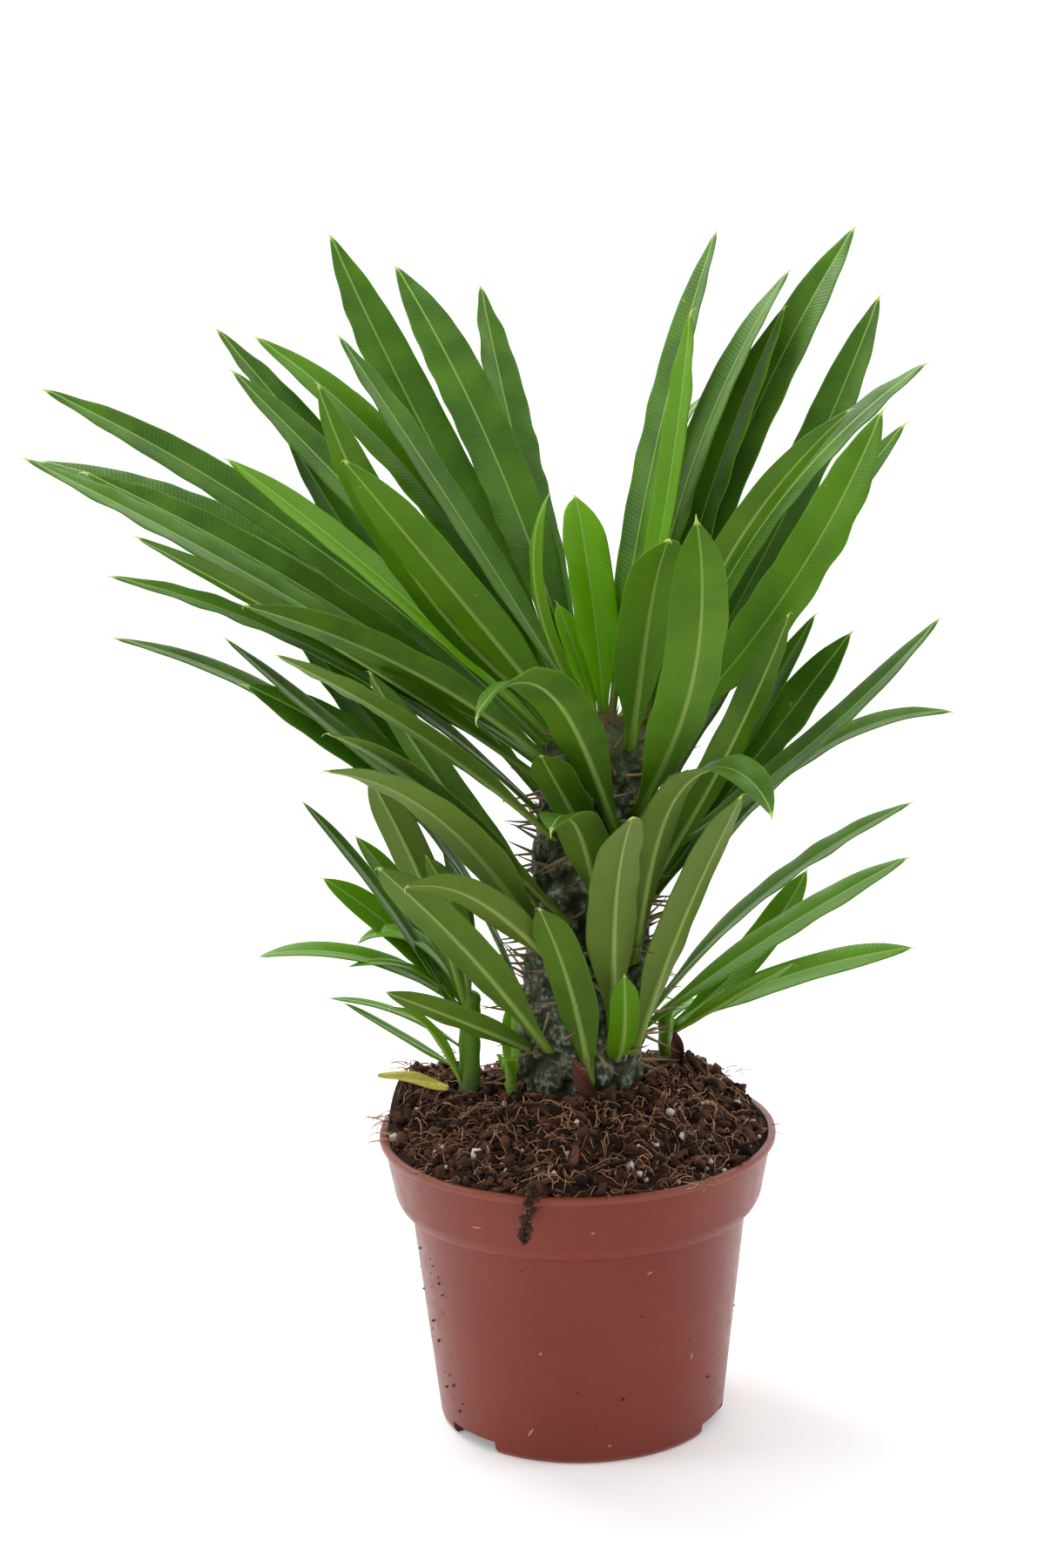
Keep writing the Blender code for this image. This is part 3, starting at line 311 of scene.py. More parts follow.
# The front view in which the leaves are set out: a place in it is across and down,
# 1200 by 1800 units, as seen from VIEW_FROM.
VIEW_FROM = (0.0, -1120.35, 498.68)
VIEW_YAW = -0.743
VIEW_DOWN = 14.974
VIEW_TILT = -1.166
VIEW_LONG = 4500.0
HEADING_GIVE = 15.0
LONG_GIVE = 15.0
ARCH = 18.0


def view_axes():
    """Directions of the front view: into it, across it and up it."""
    yaw, down, tilt = (math.radians(v) for v in (VIEW_YAW, VIEW_DOWN, VIEW_TILT))
    look = np.array(
        [math.sin(yaw) * math.cos(down), math.cos(yaw) * math.cos(down), -math.sin(down)]
    )
    level = np.array([math.cos(yaw), -math.sin(yaw), 0.0])
    up = np.cross(level, look)
    across = level * math.cos(tilt) + up * math.sin(tilt)
    return look, across, up * math.cos(tilt) - level * math.sin(tilt)


LOOK, ACROSS, UPWARD = view_axes()


def seen_at(points):
    """Where points stand in the front view."""
    away = np.atleast_2d(points) - np.array(VIEW_FROM)
    deep = away @ LOOK
    return np.stack(
        [600.0 + VIEW_LONG * (away @ ACROSS) / deep, 900.0 - VIEW_LONG * (away @ UPWARD) / deep], -1
    )


def sight(place):
    """The line of sight through a place in the view, per mm of depth."""
    way = LOOK * VIEW_LONG + ACROSS * (place[0] - 600.0) + UPWARD * (900.0 - place[1])
    return way / way[1]


def tip_place(place, middle, heading, long):
    """The tip: on its line of sight, where its heading and distance suit the leaf best."""
    way = sight(place)
    depths = np.arange(-90.0, 150.1, 1.0)
    spots = np.array(VIEW_FROM) + way * (depths - VIEW_FROM[1])[:, None]
    reach = spots - middle
    turn = np.degrees(np.arctan2(reach[:, 1], reach[:, 0]))
    off = (turn - heading + 180.0) % 360.0 - 180.0
    far = np.linalg.norm(reach, axis=1)
    cost = (off / HEADING_GIVE) ** 2 + ((far * 1.03 - long) / LONG_GIVE) ** 2
    return spots[int(np.argmin(np.round(cost, 6)))]


def missed_by(place, points):
    """How far in the view a leaf's line passes from a place."""
    line = seen_at(points)
    a, b = line[:-1], line[1:]
    run = b - a
    share = np.clip(((place - a) * run).sum(1) / np.maximum((run * run).sum(1), 1e-9), 0, 1)
    return float(np.linalg.norm(a + run * share[:, None] - place, axis=1).min())


def bend_of(seat, tip, waypoint, late, rows):
    """The rise and swing that take the leaf over its way point with the least bending."""
    reach = tip - seat
    slope = math.degrees(math.atan2(reach[2], math.hypot(reach[0], reach[1])))
    easy = min(85.0, slope + ARCH)
    place = np.array(waypoint, float)
    rise, swing = easy, 0.0

    def strain(r, s):
        gap = missed_by(place, midrib(seat, tip, r, s, late, rows)[1])
        return (gap / 3.0) ** 2 + ((r - easy) / 20.0) ** 2 + (s / 20.0) ** 2

    for span_r, span_s, step in ((50.0, 40.0, 10.0), (8.0, 8.0, 4.0), (3.0, 3.0, 1.5)):
        tried = []
        for r in np.arange(rise - span_r, rise + span_r + 0.1, step):
            for s in np.arange(swing - span_s, swing + span_s + 0.1, step):
                if -10.0 <= r <= 90.0:
                    tried.append((round(strain(r, s), 6), r, s))
        _, rise, swing = min(tried)
    return rise, swing


def roll_of(path, face, seen, width):
    """The least roll that shows the face and the breadth that the view has of the leaf."""
    points = path[1]
    spot = len(points) // 2
    eye = np.array(VIEW_FROM) - points[spot]
    line = seen_at(points)
    run = line[min(spot + 1, len(line) - 1)] - line[spot - 1]
    side = np.array([-run[1], run[0]]) / max(float(np.hypot(*run)), 1e-9)
    best = None
    for roll in range(-80, 81, 5):
        left, _, right, over = blade_edges(path, width, roll)
        broad = abs(float((seen_at(left[spot]) - seen_at(right[spot]))[0] @ side))
        facing = float(over[spot] @ eye) / float(np.linalg.norm(eye))
        wrong = {"U": max(0.0, 0.08 - facing), "N": max(0.0, 0.08 + facing)}.get(face, 0.0)
        cost = ((broad - seen) / 5.0) ** 2 + (roll / 30.0) ** 2 + 120.0 * wrong
        cost = round(cost, 6)
        if best is None or cost < best[0]:
            best = (cost, float(roll))
    return best[1]


# ---------------------------------------------------------------- mesh and material tools


def put(tree, kind, inputs=None, **settings):
    """A shader node with its settings, and a link or a plain value for each input named."""
    made = tree.nodes.new(kind)
    for key, value in settings.items():
        setattr(made, key, value)
    for key, value in (inputs or {}).items():
        socket = made.inputs[key]
        if isinstance(value, bpy.types.NodeSocket):
            tree.links.new(value, socket)
        else:
            socket.default_value = value
    return made


def maths(tree, operation, *values):
    made = put(tree, "ShaderNodeMath", operation=operation)
    for i, value in enumerate(values):
        if isinstance(value, bpy.types.NodeSocket):
            tree.links.new(value, made.inputs[i])
        else:
            made.inputs[i].default_value = value
    return made.outputs[0]


def smooth(tree, value, low, high, to_low=0.0, to_high=1.0):
    made = put(
        tree,
        "ShaderNodeMapRange",
        {"Value": value, "From Min": low, "From Max": high, "To Min": to_low, "To Max": to_high},
        interpolation_type="SMOOTHSTEP",
    )
    return made.outputs["Result"]


def blended(tree, factor, a, b, how="MIX"):
    """A colour between a and b, which are sockets or linear colours."""
    made = put(tree, "ShaderNodeMix", data_type="RGBA", blend_type=how)
    for socket, value in ((made.inputs[0], factor), (made.inputs[6], a), (made.inputs[7], b)):
        if isinstance(value, bpy.types.NodeSocket):
            tree.links.new(value, socket)
        elif isinstance(value, tuple):
            socket.default_value = (*value, 1.0)
        else:
            socket.default_value = value
    return made.outputs[2]


def attribute(tree, name, output="Fac"):
    return put(tree, "ShaderNodeAttribute", attribute_name=name).outputs[output]


def noise_of(tree, vector, scale, detail=3.0, rough=0.55, distortion=0.0):
    made = put(
        tree,
        "ShaderNodeTexNoise",
        {"Vector": vector, "Scale": scale, "Detail": detail, "Roughness": rough,
         "Distortion": distortion},
    )
    return made.outputs["Fac"]


def places(tree):
    """The point of the surface in metres, in the row frame."""
    return put(tree, "ShaderNodeTexCoord").outputs["Object"]


def srgb(r, g, b):
    """A linear colour from the eight-bit values that a screen shows."""
    return tuple(
        (c / 255 / 12.92) if c / 255 <= 0.04045 else ((c / 255 + 0.055) / 1.055) ** 2.4
        for c in (r, g, b)
    )


def new_material(name, roughness=0.5, specular=0.5):
    made = bpy.data.materials.new(name)
    made.use_nodes = True
    shader = made.node_tree.nodes["Principled BSDF"]
    shader.inputs["Roughness"].default_value = roughness
    shader.inputs["Specular IOR Level"].default_value = specular
    return made, made.node_tree, shader


def bumped(tree, shader, height, strength, distance):
    bump = put(
        tree, "ShaderNodeBump", {"Height": height, "Strength": strength, "Distance": distance}
    )
    tree.links.new(bump.outputs["Normal"], shader.inputs["Normal"])


class Shape:
    """Points, faces and point values of a mesh, gathered piece by piece, in millimetres."""

    def __init__(self):
        self.points, self.faces, self.values, self.count = [], [], {}, 0

    def add(self, points, faces, **values):
        points = np.asarray(points, float).reshape(-1, 3)
        for face in faces:
            self.faces.append(tuple(int(i) + self.count for i in face))
        for key, value in values.items():
            column = np.asarray(value, float)
            if column.ndim == 0:
                column = np.full(len(points), float(column))
            self.values.setdefault(key, []).append(column)
        self.points.append(points)
        self.count += len(points)

    def build(self, name, finish, slot, replaces=()):
        mesh = bpy.data.meshes.new(name)
        points = np.concatenate(self.points) * MM
        mesh.from_pydata(points.tolist(), [], self.faces)
        for key, parts in self.values.items():
            column = np.concatenate(parts)
            if column.ndim == 1:
                layer = mesh.attributes.new(key, "FLOAT", "POINT")
                layer.data.foreach_set("value", column.astype(np.float32))
            else:
                layer = mesh.attributes.new(key, "FLOAT_VECTOR", "POINT")
                layer.data.foreach_set("vector", column.astype(np.float32).ravel())
        mesh.shade_smooth()
        return place(name, mesh, finish, slot, replaces)


def place(name, mesh, finish, slot, replaces=()):
    obj = bpy.data.objects.new(name, mesh)
    bpy.context.scene.collection.objects.link(obj)
    mesh.materials.clear()
    mesh.materials.append(finish)
    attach(obj, "root")
    if replaces:
        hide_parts(*replaces)
    return obj


def grid_faces(rows, columns, start=0, flip=False, around=False):
    """Faces of a grid of points, with its last column joined to its first if it goes around."""
    faces = []
    wide = columns if around else columns - 1
    for i in range(rows - 1):
        for j in range(wide):
            a = start + i * columns + j
            b = start + i * columns + (j + 1) % columns
            c, d = b + columns, a + columns
            faces.append((a, d, c, b) if flip else (a, b, c, d))
    return faces


def tube(points, radii, sides=6, squash=None):
    """Points and faces of a closed tube through the points, with a cone at each end."""
    points = np.asarray(points, float)
    ahead = np.gradient(points, axis=0)
    ahead /= np.maximum(np.linalg.norm(ahead, axis=1), 1e-9)[:, None]
    first = ahead[0]
    side = np.cross(first, (0.0, 0.0, 1.0) if abs(first[2]) < 0.9 else (1.0, 0.0, 0.0))
    side /= np.linalg.norm(side)
    angles = np.arange(sides) * 2 * math.pi / sides
    rings = []
    for point, way, radius in zip(points, ahead, radii):
        side = side - way * float(side @ way)
        side /= max(np.linalg.norm(side), 1e-9)
        other = np.cross(way, side)
        flat = 1.0 if squash is None else squash
        rings.append(
            point
            + radius * (np.cos(angles)[:, None] * side + flat * np.sin(angles)[:, None] * other)
        )
    verts = np.concatenate([np.concatenate(rings), [points[0]], [points[-1]]])
    n = len(points)
    faces = grid_faces(n, sides, around=True)
    foot, top = n * sides, n * sides + 1
    for j in range(sides):
        k = (j + 1) % sides
        faces.append((foot, k, j))
        faces.append((top, (n - 1) * sides + j, (n - 1) * sides + k))
    return verts, faces


# ---------------------------------------------------------------- how each leaf lies


def blade_edges(path, width, roll, grow=0.0, blunt=False):
    """Left edge, midrib, right edge and the upper side's direction along the leaf."""
    along, points, aside, above, _ = path
    r = math.radians(roll)
    across = math.cos(r) * aside + math.sin(r) * above
    over = math.cos(r) * above - math.sin(r) * aside
    half = (blade_width(along, blunt) * width / 2 + grow)[:, None]
    f = math.radians(LEAF_FOLD)
    left = points - across * half * math.cos(f) + over * half * math.sin(f)
    right = points + across * half * math.cos(f) + over * half * math.sin(f)
    return left, points, right, over


def ways():
    """Small changes a leaf may make to give room, the least first."""
    found = []
    for depth in range(-24, 25, 3):
        for side in (0, -6, 6, -12, 12):
            for rise in (0, -6, 6, -12, 12):
                for roll in (0, -12, 12):
                    cost = abs(depth) / 3 + abs(side) / 6 + abs(rise) / 4 + abs(roll) / 12
                    if cost <= 9:
                        found.append((cost, (float(depth), float(side), float(rise), float(roll))))
    found.sort()
    return found


WAYS = ways()


class Lying:
    """A leaf as its row sets it out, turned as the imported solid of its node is."""

    def __init__(self, row, stem, grown_on):
        (self.name, self.z, heading, long, place_seen, waypoint, face, seen, self.width,
         self.late) = row
        self.stem, self.grown_on = stem, grown_on
        self.blunt = self.name in BLUNT
        rows = SMALL_LEAF_ROWS if grown_on else LEAF_ROWS
        middle = trunk_axis(self.z) if stem == "main_stem" else shoot_at(stem, self.z)[0]
        self.tip = tip_place(place_seen, middle, heading, long)
        reach = self.tip - middle
        self.side = SEAT_SIDES.get(self.name, math.degrees(math.atan2(reach[1], reach[0])))
        seat = leaf_seat(self.z, self.side, stem, grown_on)
        self.rise, self.swing = bend_of(seat, self.tip, waypoint, self.late, rows)
        path = midrib(seat, self.tip, self.rise, self.swing, self.late, rows)
        self.roll = roll_of(path, face, seen, self.width)
        if not grown_on:
            self.follow(sight(place_seen), rows)

    def follow(self, way, rows):
        """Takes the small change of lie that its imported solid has."""
        mesh = frame["nodes"][self.name].data
        spots = KDTree(len(mesh.vertices))
        for i, vert in enumerate(mesh.vertices):
            spots.insert(vert.co / MM, i)
        spots.balance()
        best = None
        for _, (depth, side, rise, roll) in WAYS:
            tip = self.tip + depth * way
            seat = leaf_seat(self.z, self.side + side, self.stem, self.grown_on)
            path = midrib(seat, tip, self.rise + rise, self.swing, self.late, rows)
            left, line, right, _ = blade_edges(path, self.width, self.roll + roll, 0.0, self.blunt)
            off = sum(
                spots.find(tuple(p))[2] for p in np.concatenate([left[::2], line[::2], right[::2]])
            )
            if best is None or off < best[0]:
                best = (off, tip, self.side + side, self.rise + rise, self.roll + roll)
            if off < 15 * (LEAF_THICK / 2 + 0.06):
                break
        LIE_GAPS.append((round(best[0] / 15, 3), self.name))
        _, self.tip, self.side, self.rise, self.roll = best


LIE_GAPS = []


# ---------------------------------------------------------------- finishes


def leaf_finish(name):
    """Living leaf: side veins in fine ribs, a pale midrib, a duller underside, a yellow hook, and an
    upper side lightened and greyed by a painted sheen.
    """
    made, tree, shader = new_material(name, 0.4, 0.22)
    along, across = attribute(tree, "along"), attribute(tree, "across")
    under, young = attribute(tree, "under"), attribute(tree, "young")
    spot = put(tree, "ShaderNodeSeparateXYZ", {"Vector": attribute(tree, "leaf_mm", "Vector")})
    s, l = spot.outputs[0], spot.outputs[1]
    aside = maths(tree, "ABSOLUTE", s)
    flat = put(tree, "ShaderNodeCombineXYZ", {"X": s, "Y": l, "Z": spot.outputs[2]}).outputs[0]

    # Side veins run out from the midrib and lean to the tip.
    lean = maths(tree, "SUBTRACT", l, maths(tree, "MULTIPLY", aside, 0.42))
    lined = put(
        tree, "ShaderNodeCombineXYZ",
        {"X": lean, "Y": maths(tree, "MULTIPLY", s, 0.12), "Z": spot.outputs[2]},
    ).outputs[0]
    veins = put(
        tree, "ShaderNodeTexWave",
        {"Vector": lined, "Scale": 0.235, "Distortion": 3.2, "Detail": 2.0, "Detail Scale": 1.4},
        wave_type="BANDS", bands_direction="X",
    ).outputs["Fac"]
    cloud = noise_of(tree, flat, 0.05, 3.0)
    hatch = noise_of(tree, lined, 1.1, 4.0, 0.7)
    grain = noise_of(tree, flat, 1.6, 3.0)

    # The upper side's two greens are partly the leaf's own green and partly a painted sheen, which makes
    # them lighter and greyer.
    upper = blended(tree, smooth(tree, cloud, 0.3, 0.7), LEAF_UPPER_DARK_SHEEN, LEAF_UPPER_MID_SHEEN)
    upper = blended(tree, maths(tree, "MULTIPLY", veins, 0.16), upper, LEAF_VEIN)
    upper = blended(tree, young, upper, LEAF_YOUNG)
    lower = blended(tree, smooth(tree, cloud, 0.25, 0.75), LEAF_UNDER, LEAF_UNDER_PALE)
    lower = blended(tree, maths(tree, "MULTIPLY", young, 0.75), lower, LEAF_YOUNG_UNDER)
    olive = maths(tree, "MULTIPLY", smooth(tree, young, 0.0, -1.0),
                  smooth(tree, hatch, 0.25, 0.75, 0.75, 1.0))
    lower = blended(tree, olive, lower, LEAF_OLIVE)
    lower = blended(tree, smooth(tree, hatch, 0.55, 0.9, 0.0, 0.28), lower, LEAF_HATCH)
    body = blended(tree, under, upper, lower)

    # The midrib: a thread of pale green above, a broad tapering rib below.
    thread = smooth(tree, aside, 0.40, 0.16, 0.0, 0.8)
    wide = maths(tree, "SUBTRACT", 1.35, maths(tree, "MULTIPLY", along, 1.05))
    rib = smooth(tree, maths(tree, "DIVIDE", aside, wide), 1.15, 0.35)
    rib = maths(tree, "MULTIPLY", rib, 0.72)
    middle = put(
        tree, "ShaderNodeMix", {0: under, 2: thread, 3: rib}, data_type="FLOAT"
    ).outputs[0]
    body = blended(tree, middle, body, blended(tree, under, RIB_UPPER, RIB_UNDER))

    # The stalk is paler, the margin a little lighter, and the hook yellow.
    stalk = smooth(tree, along, 0.16, 0.02, 0.0, 0.55)
    body = blended(tree, stalk, body, STALK)
    margin = smooth(tree, maths(tree, "ABSOLUTE", across), 0.93, 0.995, 0.0, 0.35)
    body = blended(tree, margin, body, MARGIN)
    body = blended(tree, smooth(tree, along, 0.990, 1.0), body, HOOK)
    speck = smooth(tree, noise_of(tree, flat, 0.42, 2.0), 0.74, 0.80, 0.0, 0.5)
    body = blended(tree, speck, body, SPECK)
    tree.links.new(body, shader.inputs["Base Color"])

    rough = maths(tree, "ADD", maths(tree, "MULTIPLY", grain, 0.12),
                  maths(tree, "MULTIPLY", under, 0.16))
    rough = maths(tree, "ADD", rough, 0.30)
    tree.links.new(rough, shader.inputs["Roughness"])
    shader.inputs["Subsurface Weight"].default_value = 0.22
    shader.inputs["Subsurface Radius"].default_value = (0.5, 1.0, 0.15)
    shader.inputs["Subsurface Scale"].default_value = 0.0011
    height = maths(tree, "ADD", maths(tree, "MULTIPLY", veins, 0.7),
                   maths(tree, "MULTIPLY", grain, 0.5))
    bumped(tree, shader, height, 0.35, 0.00012)
    return made


# The two upper greens hold a painted sheen as well as the upper side's own green.
LEAF_UPPER_DARK_SHEEN = srgb(56, 96, 20)
LEAF_UPPER_MID_SHEEN = srgb(80, 124, 22)
LEAF_VEIN = srgb(110, 152, 44)
LEAF_YOUNG = srgb(112, 170, 0)
LEAF_OLIVE = srgb(96, 116, 40)
LEAF_UNDER = srgb(54, 92, 0)
LEAF_UNDER_PALE = srgb(78, 114, 8)
LEAF_YOUNG_UNDER = srgb(98, 152, 0)
RIB_UPPER = srgb(150, 184, 92)
RIB_UNDER = srgb(150, 174, 86)
STALK = srgb(100, 138, 18)
MARGIN = srgb(84, 128, 24)
HOOK = srgb(186, 198, 96)
LEAF_HATCH = srgb(116, 146, 44)
SPECK = srgb(176, 186, 90)


# ---------------------------------------------------------------- leaves

COLUMNS = (-1.0, -0.94, -0.78, -0.55, -0.3, -0.11, 0.0, 0.11, 0.3, 0.55, 0.78, 0.94, 1.0)
BLADE_THICK = 0.5
HOOK_LONG = 2.8
HOOK_ROWS = 6
BARK_REACH = 3.6


def outline(along, blunt):
    """Half width over its greatest, with fuller shoulders than the plain blade's."""
    grow = np.clip((along - 0.02) / 0.40, 0, 1)
    stalk = 0.22 + 0.78 * (grow * grow * (3 - 2 * grow))
    if blunt:
        return stalk * (1 - 0.93 * np.clip((along - 0.66) / 0.34, 0, 1) ** 3.8)
    return stalk * (1 - 0.95 * np.clip((along - 0.58) / 0.42, 0, 1) ** 3.4)


def leaf_shell(shape, row, stem, grown_on, young, wave=1.0):
    """One leaf as a closed shell, from inside the bark to the hook past its tip."""
    leaf = Lying(row, stem, grown_on)
    name, z, side, rise, swing = leaf.name, leaf.z, leaf.side, leaf.rise, leaf.swing
    tip, width, roll, late = leaf.tip, leaf.width, leaf.roll, leaf.late
    wave *= WAVY.get(name, 1.0)
    seed = sum(ord(c) * (i + 3) for i, c in enumerate(name)) % 97
    chance = random.Random(seed * 7 + 5)
    seat = leaf_seat(z, side, stem, grown_on)
    reach = float(np.linalg.norm(np.array(tip) - seat))
    rows = int(min(72, max(26, reach / 2.6)))
    along, points, aside, above, length = midrib(seat, tip, rise, swing, late, rows, 1)
    ahead = np.cross(aside, above)
    half = outline(along, leaf.blunt) * width / 2
    mm = along * length

    # Rows into the bark, before the seat.
    if not grown_on:
        axis = trunk_axis(z - 2.0) if stem == "main_stem" else shoot_at(stem, z - 1.0)[0]
        inward = axis - seat
        inward /= np.linalg.norm(inward)
        way = inward - 0.4 * ahead[0]
        way /= np.linalg.norm(way)
        before = np.array([seat + way * BARK_REACH * k for k in (1.0, 0.5)])
        points = np.concatenate([before, points])
        along = np.concatenate([[0.0, 0.0], along])
        mm = np.concatenate([[-BARK_REACH, -BARK_REACH / 2], mm])
        half = np.concatenate([[half[0] * 1.25, half[0] * 1.1], half])
        aside = np.concatenate([aside[:1], aside[:1], aside])
        above = np.concatenate([above[:1], above[:1], above])
        ahead = np.concatenate([ahead[:1], ahead[:1], ahead])

    r = np.radians(roll + (chance.uniform(-9, 9)) * (along - 0.2))
    across = np.cos(r)[:, None] * aside + np.sin(r)[:, None] * above
    over = np.cos(r)[:, None] * above - np.sin(r)[:, None] * aside

    # The hook curls to the underside.
    curl = math.radians(chance.uniform(50, 100))
    lean = chance.uniform(-0.35, 0.35)
    spot, way, up = points[-1].copy(), ahead[-1].copy(), over[-1].copy()
    hook_long = HOOK_LONG * min(1.0, 0.55 + width / 30)
    for k in range(1, HOOK_ROWS + 1):
        bend = curl / HOOK_ROWS
        way, up = (
            way * math.cos(bend) - up * math.sin(bend) + across[-1] * lean * 0.12,
            up * math.cos(bend) + way * math.sin(bend),
        )
        way /= np.linalg.norm(way)
        spot = spot + way * hook_long / HOOK_ROWS
        points = np.concatenate([points, [spot]])
        over = np.concatenate([over, [up]])
        across = np.concatenate([across, across[-1:]])
        half = np.concatenate([half, [max(0.07, half[-1] * 0.74)]])
        along = np.concatenate([along, [1.0]])
        mm = np.concatenate([mm, [mm[-1] + hook_long / HOOK_ROWS]])

    c = np.array(COLUMNS)
    s = half[:, None] * c
    fold = math.tan(math.radians(LEAF_FOLD + chance.uniform(-3, 4)))
    body = np.clip(half / (0.3 * width), 0, 1)
    lift = fold * (np.sqrt(s * s + 0.5) - math.sqrt(0.5)) * body[:, None]
    lift -= 0.05 * half[:, None] * c**4 * body[:, None]
    env = (np.clip((along - 0.12) / 0.2, 0, 1) * np.clip((1.0 - along) / 0.12, 0, 1))[:, None]
    step_l, step_r = chance.uniform(13, 19), chance.uniform(13, 19)
    first_l, first_r = chance.uniform(0, 6.28), chance.uniform(0, 6.28)
    ripple_l = np.sin(2 * math.pi * mm / step_l + first_l + 0.8 * np.sin(mm / 23.0))
    ripple_r = np.sin(2 * math.pi * mm / step_r + first_r + 0.8 * np.sin(mm / 19.0))
    bold = np.clip(0.5 + 0.9 * np.sin(mm / 31.0 + first_r) * np.sin(mm / 13.0 + first_l), 0.0, 1.3)
    bold = bold[:, None]
    ripple = np.where(c < 0, ripple_l[:, None], ripple_r[:, None]) * c**2 * env
    lift += wave * 0.024 * width * ripple * bold
    s = s * (1 + 0.016 * wave * env * np.where(c < 0, np.roll(ripple_l, 3)[:, None],
                                        np.roll(ripple_r, 3)[:, None]) * c**2)

    thick = np.maximum(BLADE_THICK * body + 0.1, np.minimum(half * 1.3, 1.9) * (1 - body) ** 1.5)
    thick = np.minimum(thick, 2.2 * half + 0.02)[:, None]
    rim = np.sqrt(np.clip(1 - 0.62 * np.abs(c) ** 3, 0, 1))
    groove = 0.16 * np.exp(-((s / 0.45) ** 2)) * body[:, None]
    rib_w = np.clip(1.3 - 1.0 * along, 0.25, 1.3)[:, None]
    rib_h = (1.15 * (1 - along) ** 0.8 * np.clip(half / 2.0, 0, 1) + 0.12 * body)[:, None]
    top = lift + thick / 2 * rim - groove
    under = lift - thick / 2 * rim - rib_h * np.exp(-((s / rib_w) ** 2)) * (half[:, None] > 0.5)

    def laid(height):
        return points[:, None] + across[:, None] * s[:, :, None] + over[:, None] * height[:, :, None]

    n, m = len(points), len(c)
    verts = np.concatenate([laid(top).reshape(-1, 3), laid(under).reshape(-1, 3)])
    faces = grid_faces(n, m, flip=True) + grid_faces(n, m, start=n * m)
    low = n * m
    for i in range(n - 1):
        a, b = i * m, (i + 1) * m
        faces.append((a, low + a, low + b, b))
        a, b = a + m - 1, b + m - 1
        faces.append((a, b, low + b, low + a))
    for j in range(m - 1):
        faces.append((j, j + 1, low + j + 1, low + j))
        e = (n - 1) * m + j
        faces.append((e, low + e, low + e + 1, e + 1))
    one = np.concatenate([along, [0]])[:-1]
    wide = np.tile(c, n)
    flat = np.stack([s.reshape(-1), np.repeat(mm, m), np.full(n * m, seed * 3.7)], -1)
    shape.add(
        verts,
        faces,
        along=np.tile(np.repeat(one, m), 2),
        across=np.tile(wide, 2),
        under=np.repeat([0.0, 1.0], n * m),
        young=np.full(2 * n * m, young),
        leaf_mm=np.concatenate([flat, flat]),
    )


# How young a leaf looks: 0 is a full dark leaf, 1 one that has just opened.
YOUNG = {
    "leaf_02": 0.25, "leaf_03": 0.45, "leaf_05": 0.35, "leaf_06": 0.7, "leaf_07": 0.1,
    "leaf_08": 0.55, "leaf_11": 0.6, "leaf_17": 0.45, "leaf_21": 0.35, "leaf_24": 0.25,
    "leaf_33": 0.35, "leaf_10": 0.3, "spear": 0.9, "short_1": 1.0, "short_2": 1.0,
    "short_7": 0.75, "leaf_45": 0.3, "leaf_49": 0.25, "leaf_51": 0.45, "leaf_53": -0.8,
    "b_01": 0.35, "b_02": 0.55, "b_03": 0.7, "b_04": 0.6, "b_05": 0.6, "b_06": 0.5,
    "a_01": 0.55, "a_02": 0.6, "a_03": 0.6, "a_04": 0.5, "a_10": 0.6, "a_11": 0.6,
    "a_12": 0.6, "c_01": 0.6, "c_02": 0.7,
    # Older leaves, matt and olive below.
    "leaf_48": -0.9, "leaf_46": -0.7, "leaf_44": -0.9, "leaf_42": -0.8, "leaf_50": -0.5,
    "leaf_37": -0.5, "leaf_52": -0.35, "leaf_43": -0.5, "leaf_39": -0.6, "leaf_29": -0.2,
    "leaf_31": -0.5, "a_05": -0.4, "a_07": -0.7, "a_08": -0.4, "short_6": -0.5,
}

# Leaves whose edges are wavier, or calmer, than the rest.
WAVY = {"leaf_10": 2.4, "leaf_16": 1.8, "leaf_26": 1.6, "leaf_07": 1.4, "leaf_40": 1.5}

LEAF_GREEN = leaf_finish("leaf_green")

for row in LEAVES:
    shape = Shape()
    leaf_shell(shape, row, "main_stem", False, YOUNG.get(row[0], 0.0))
    shape.build(row[0] + "_blade", LEAF_GREEN, "leaf", [row[0]])
for row in TRUNK_LEAVES:
    shape = Shape()
    leaf_shell(shape, row, "main_stem", True, YOUNG.get(row[0], 0.0))
    shape.build("stem_" + row[0] + "_blade", LEAF_GREEN, "leaf")
for stem, rows in SHOOT_LEAVES.items():
    shape = Shape()
    for row in rows:
        leaf_shell(shape, row, stem, True, YOUNG.get(row[0], 0.15), 0.6)
    shape.build(stem + "_blades", LEAF_GREEN, "shoot")


# ---------------------------------------------------------------- trunk, shoots and spines


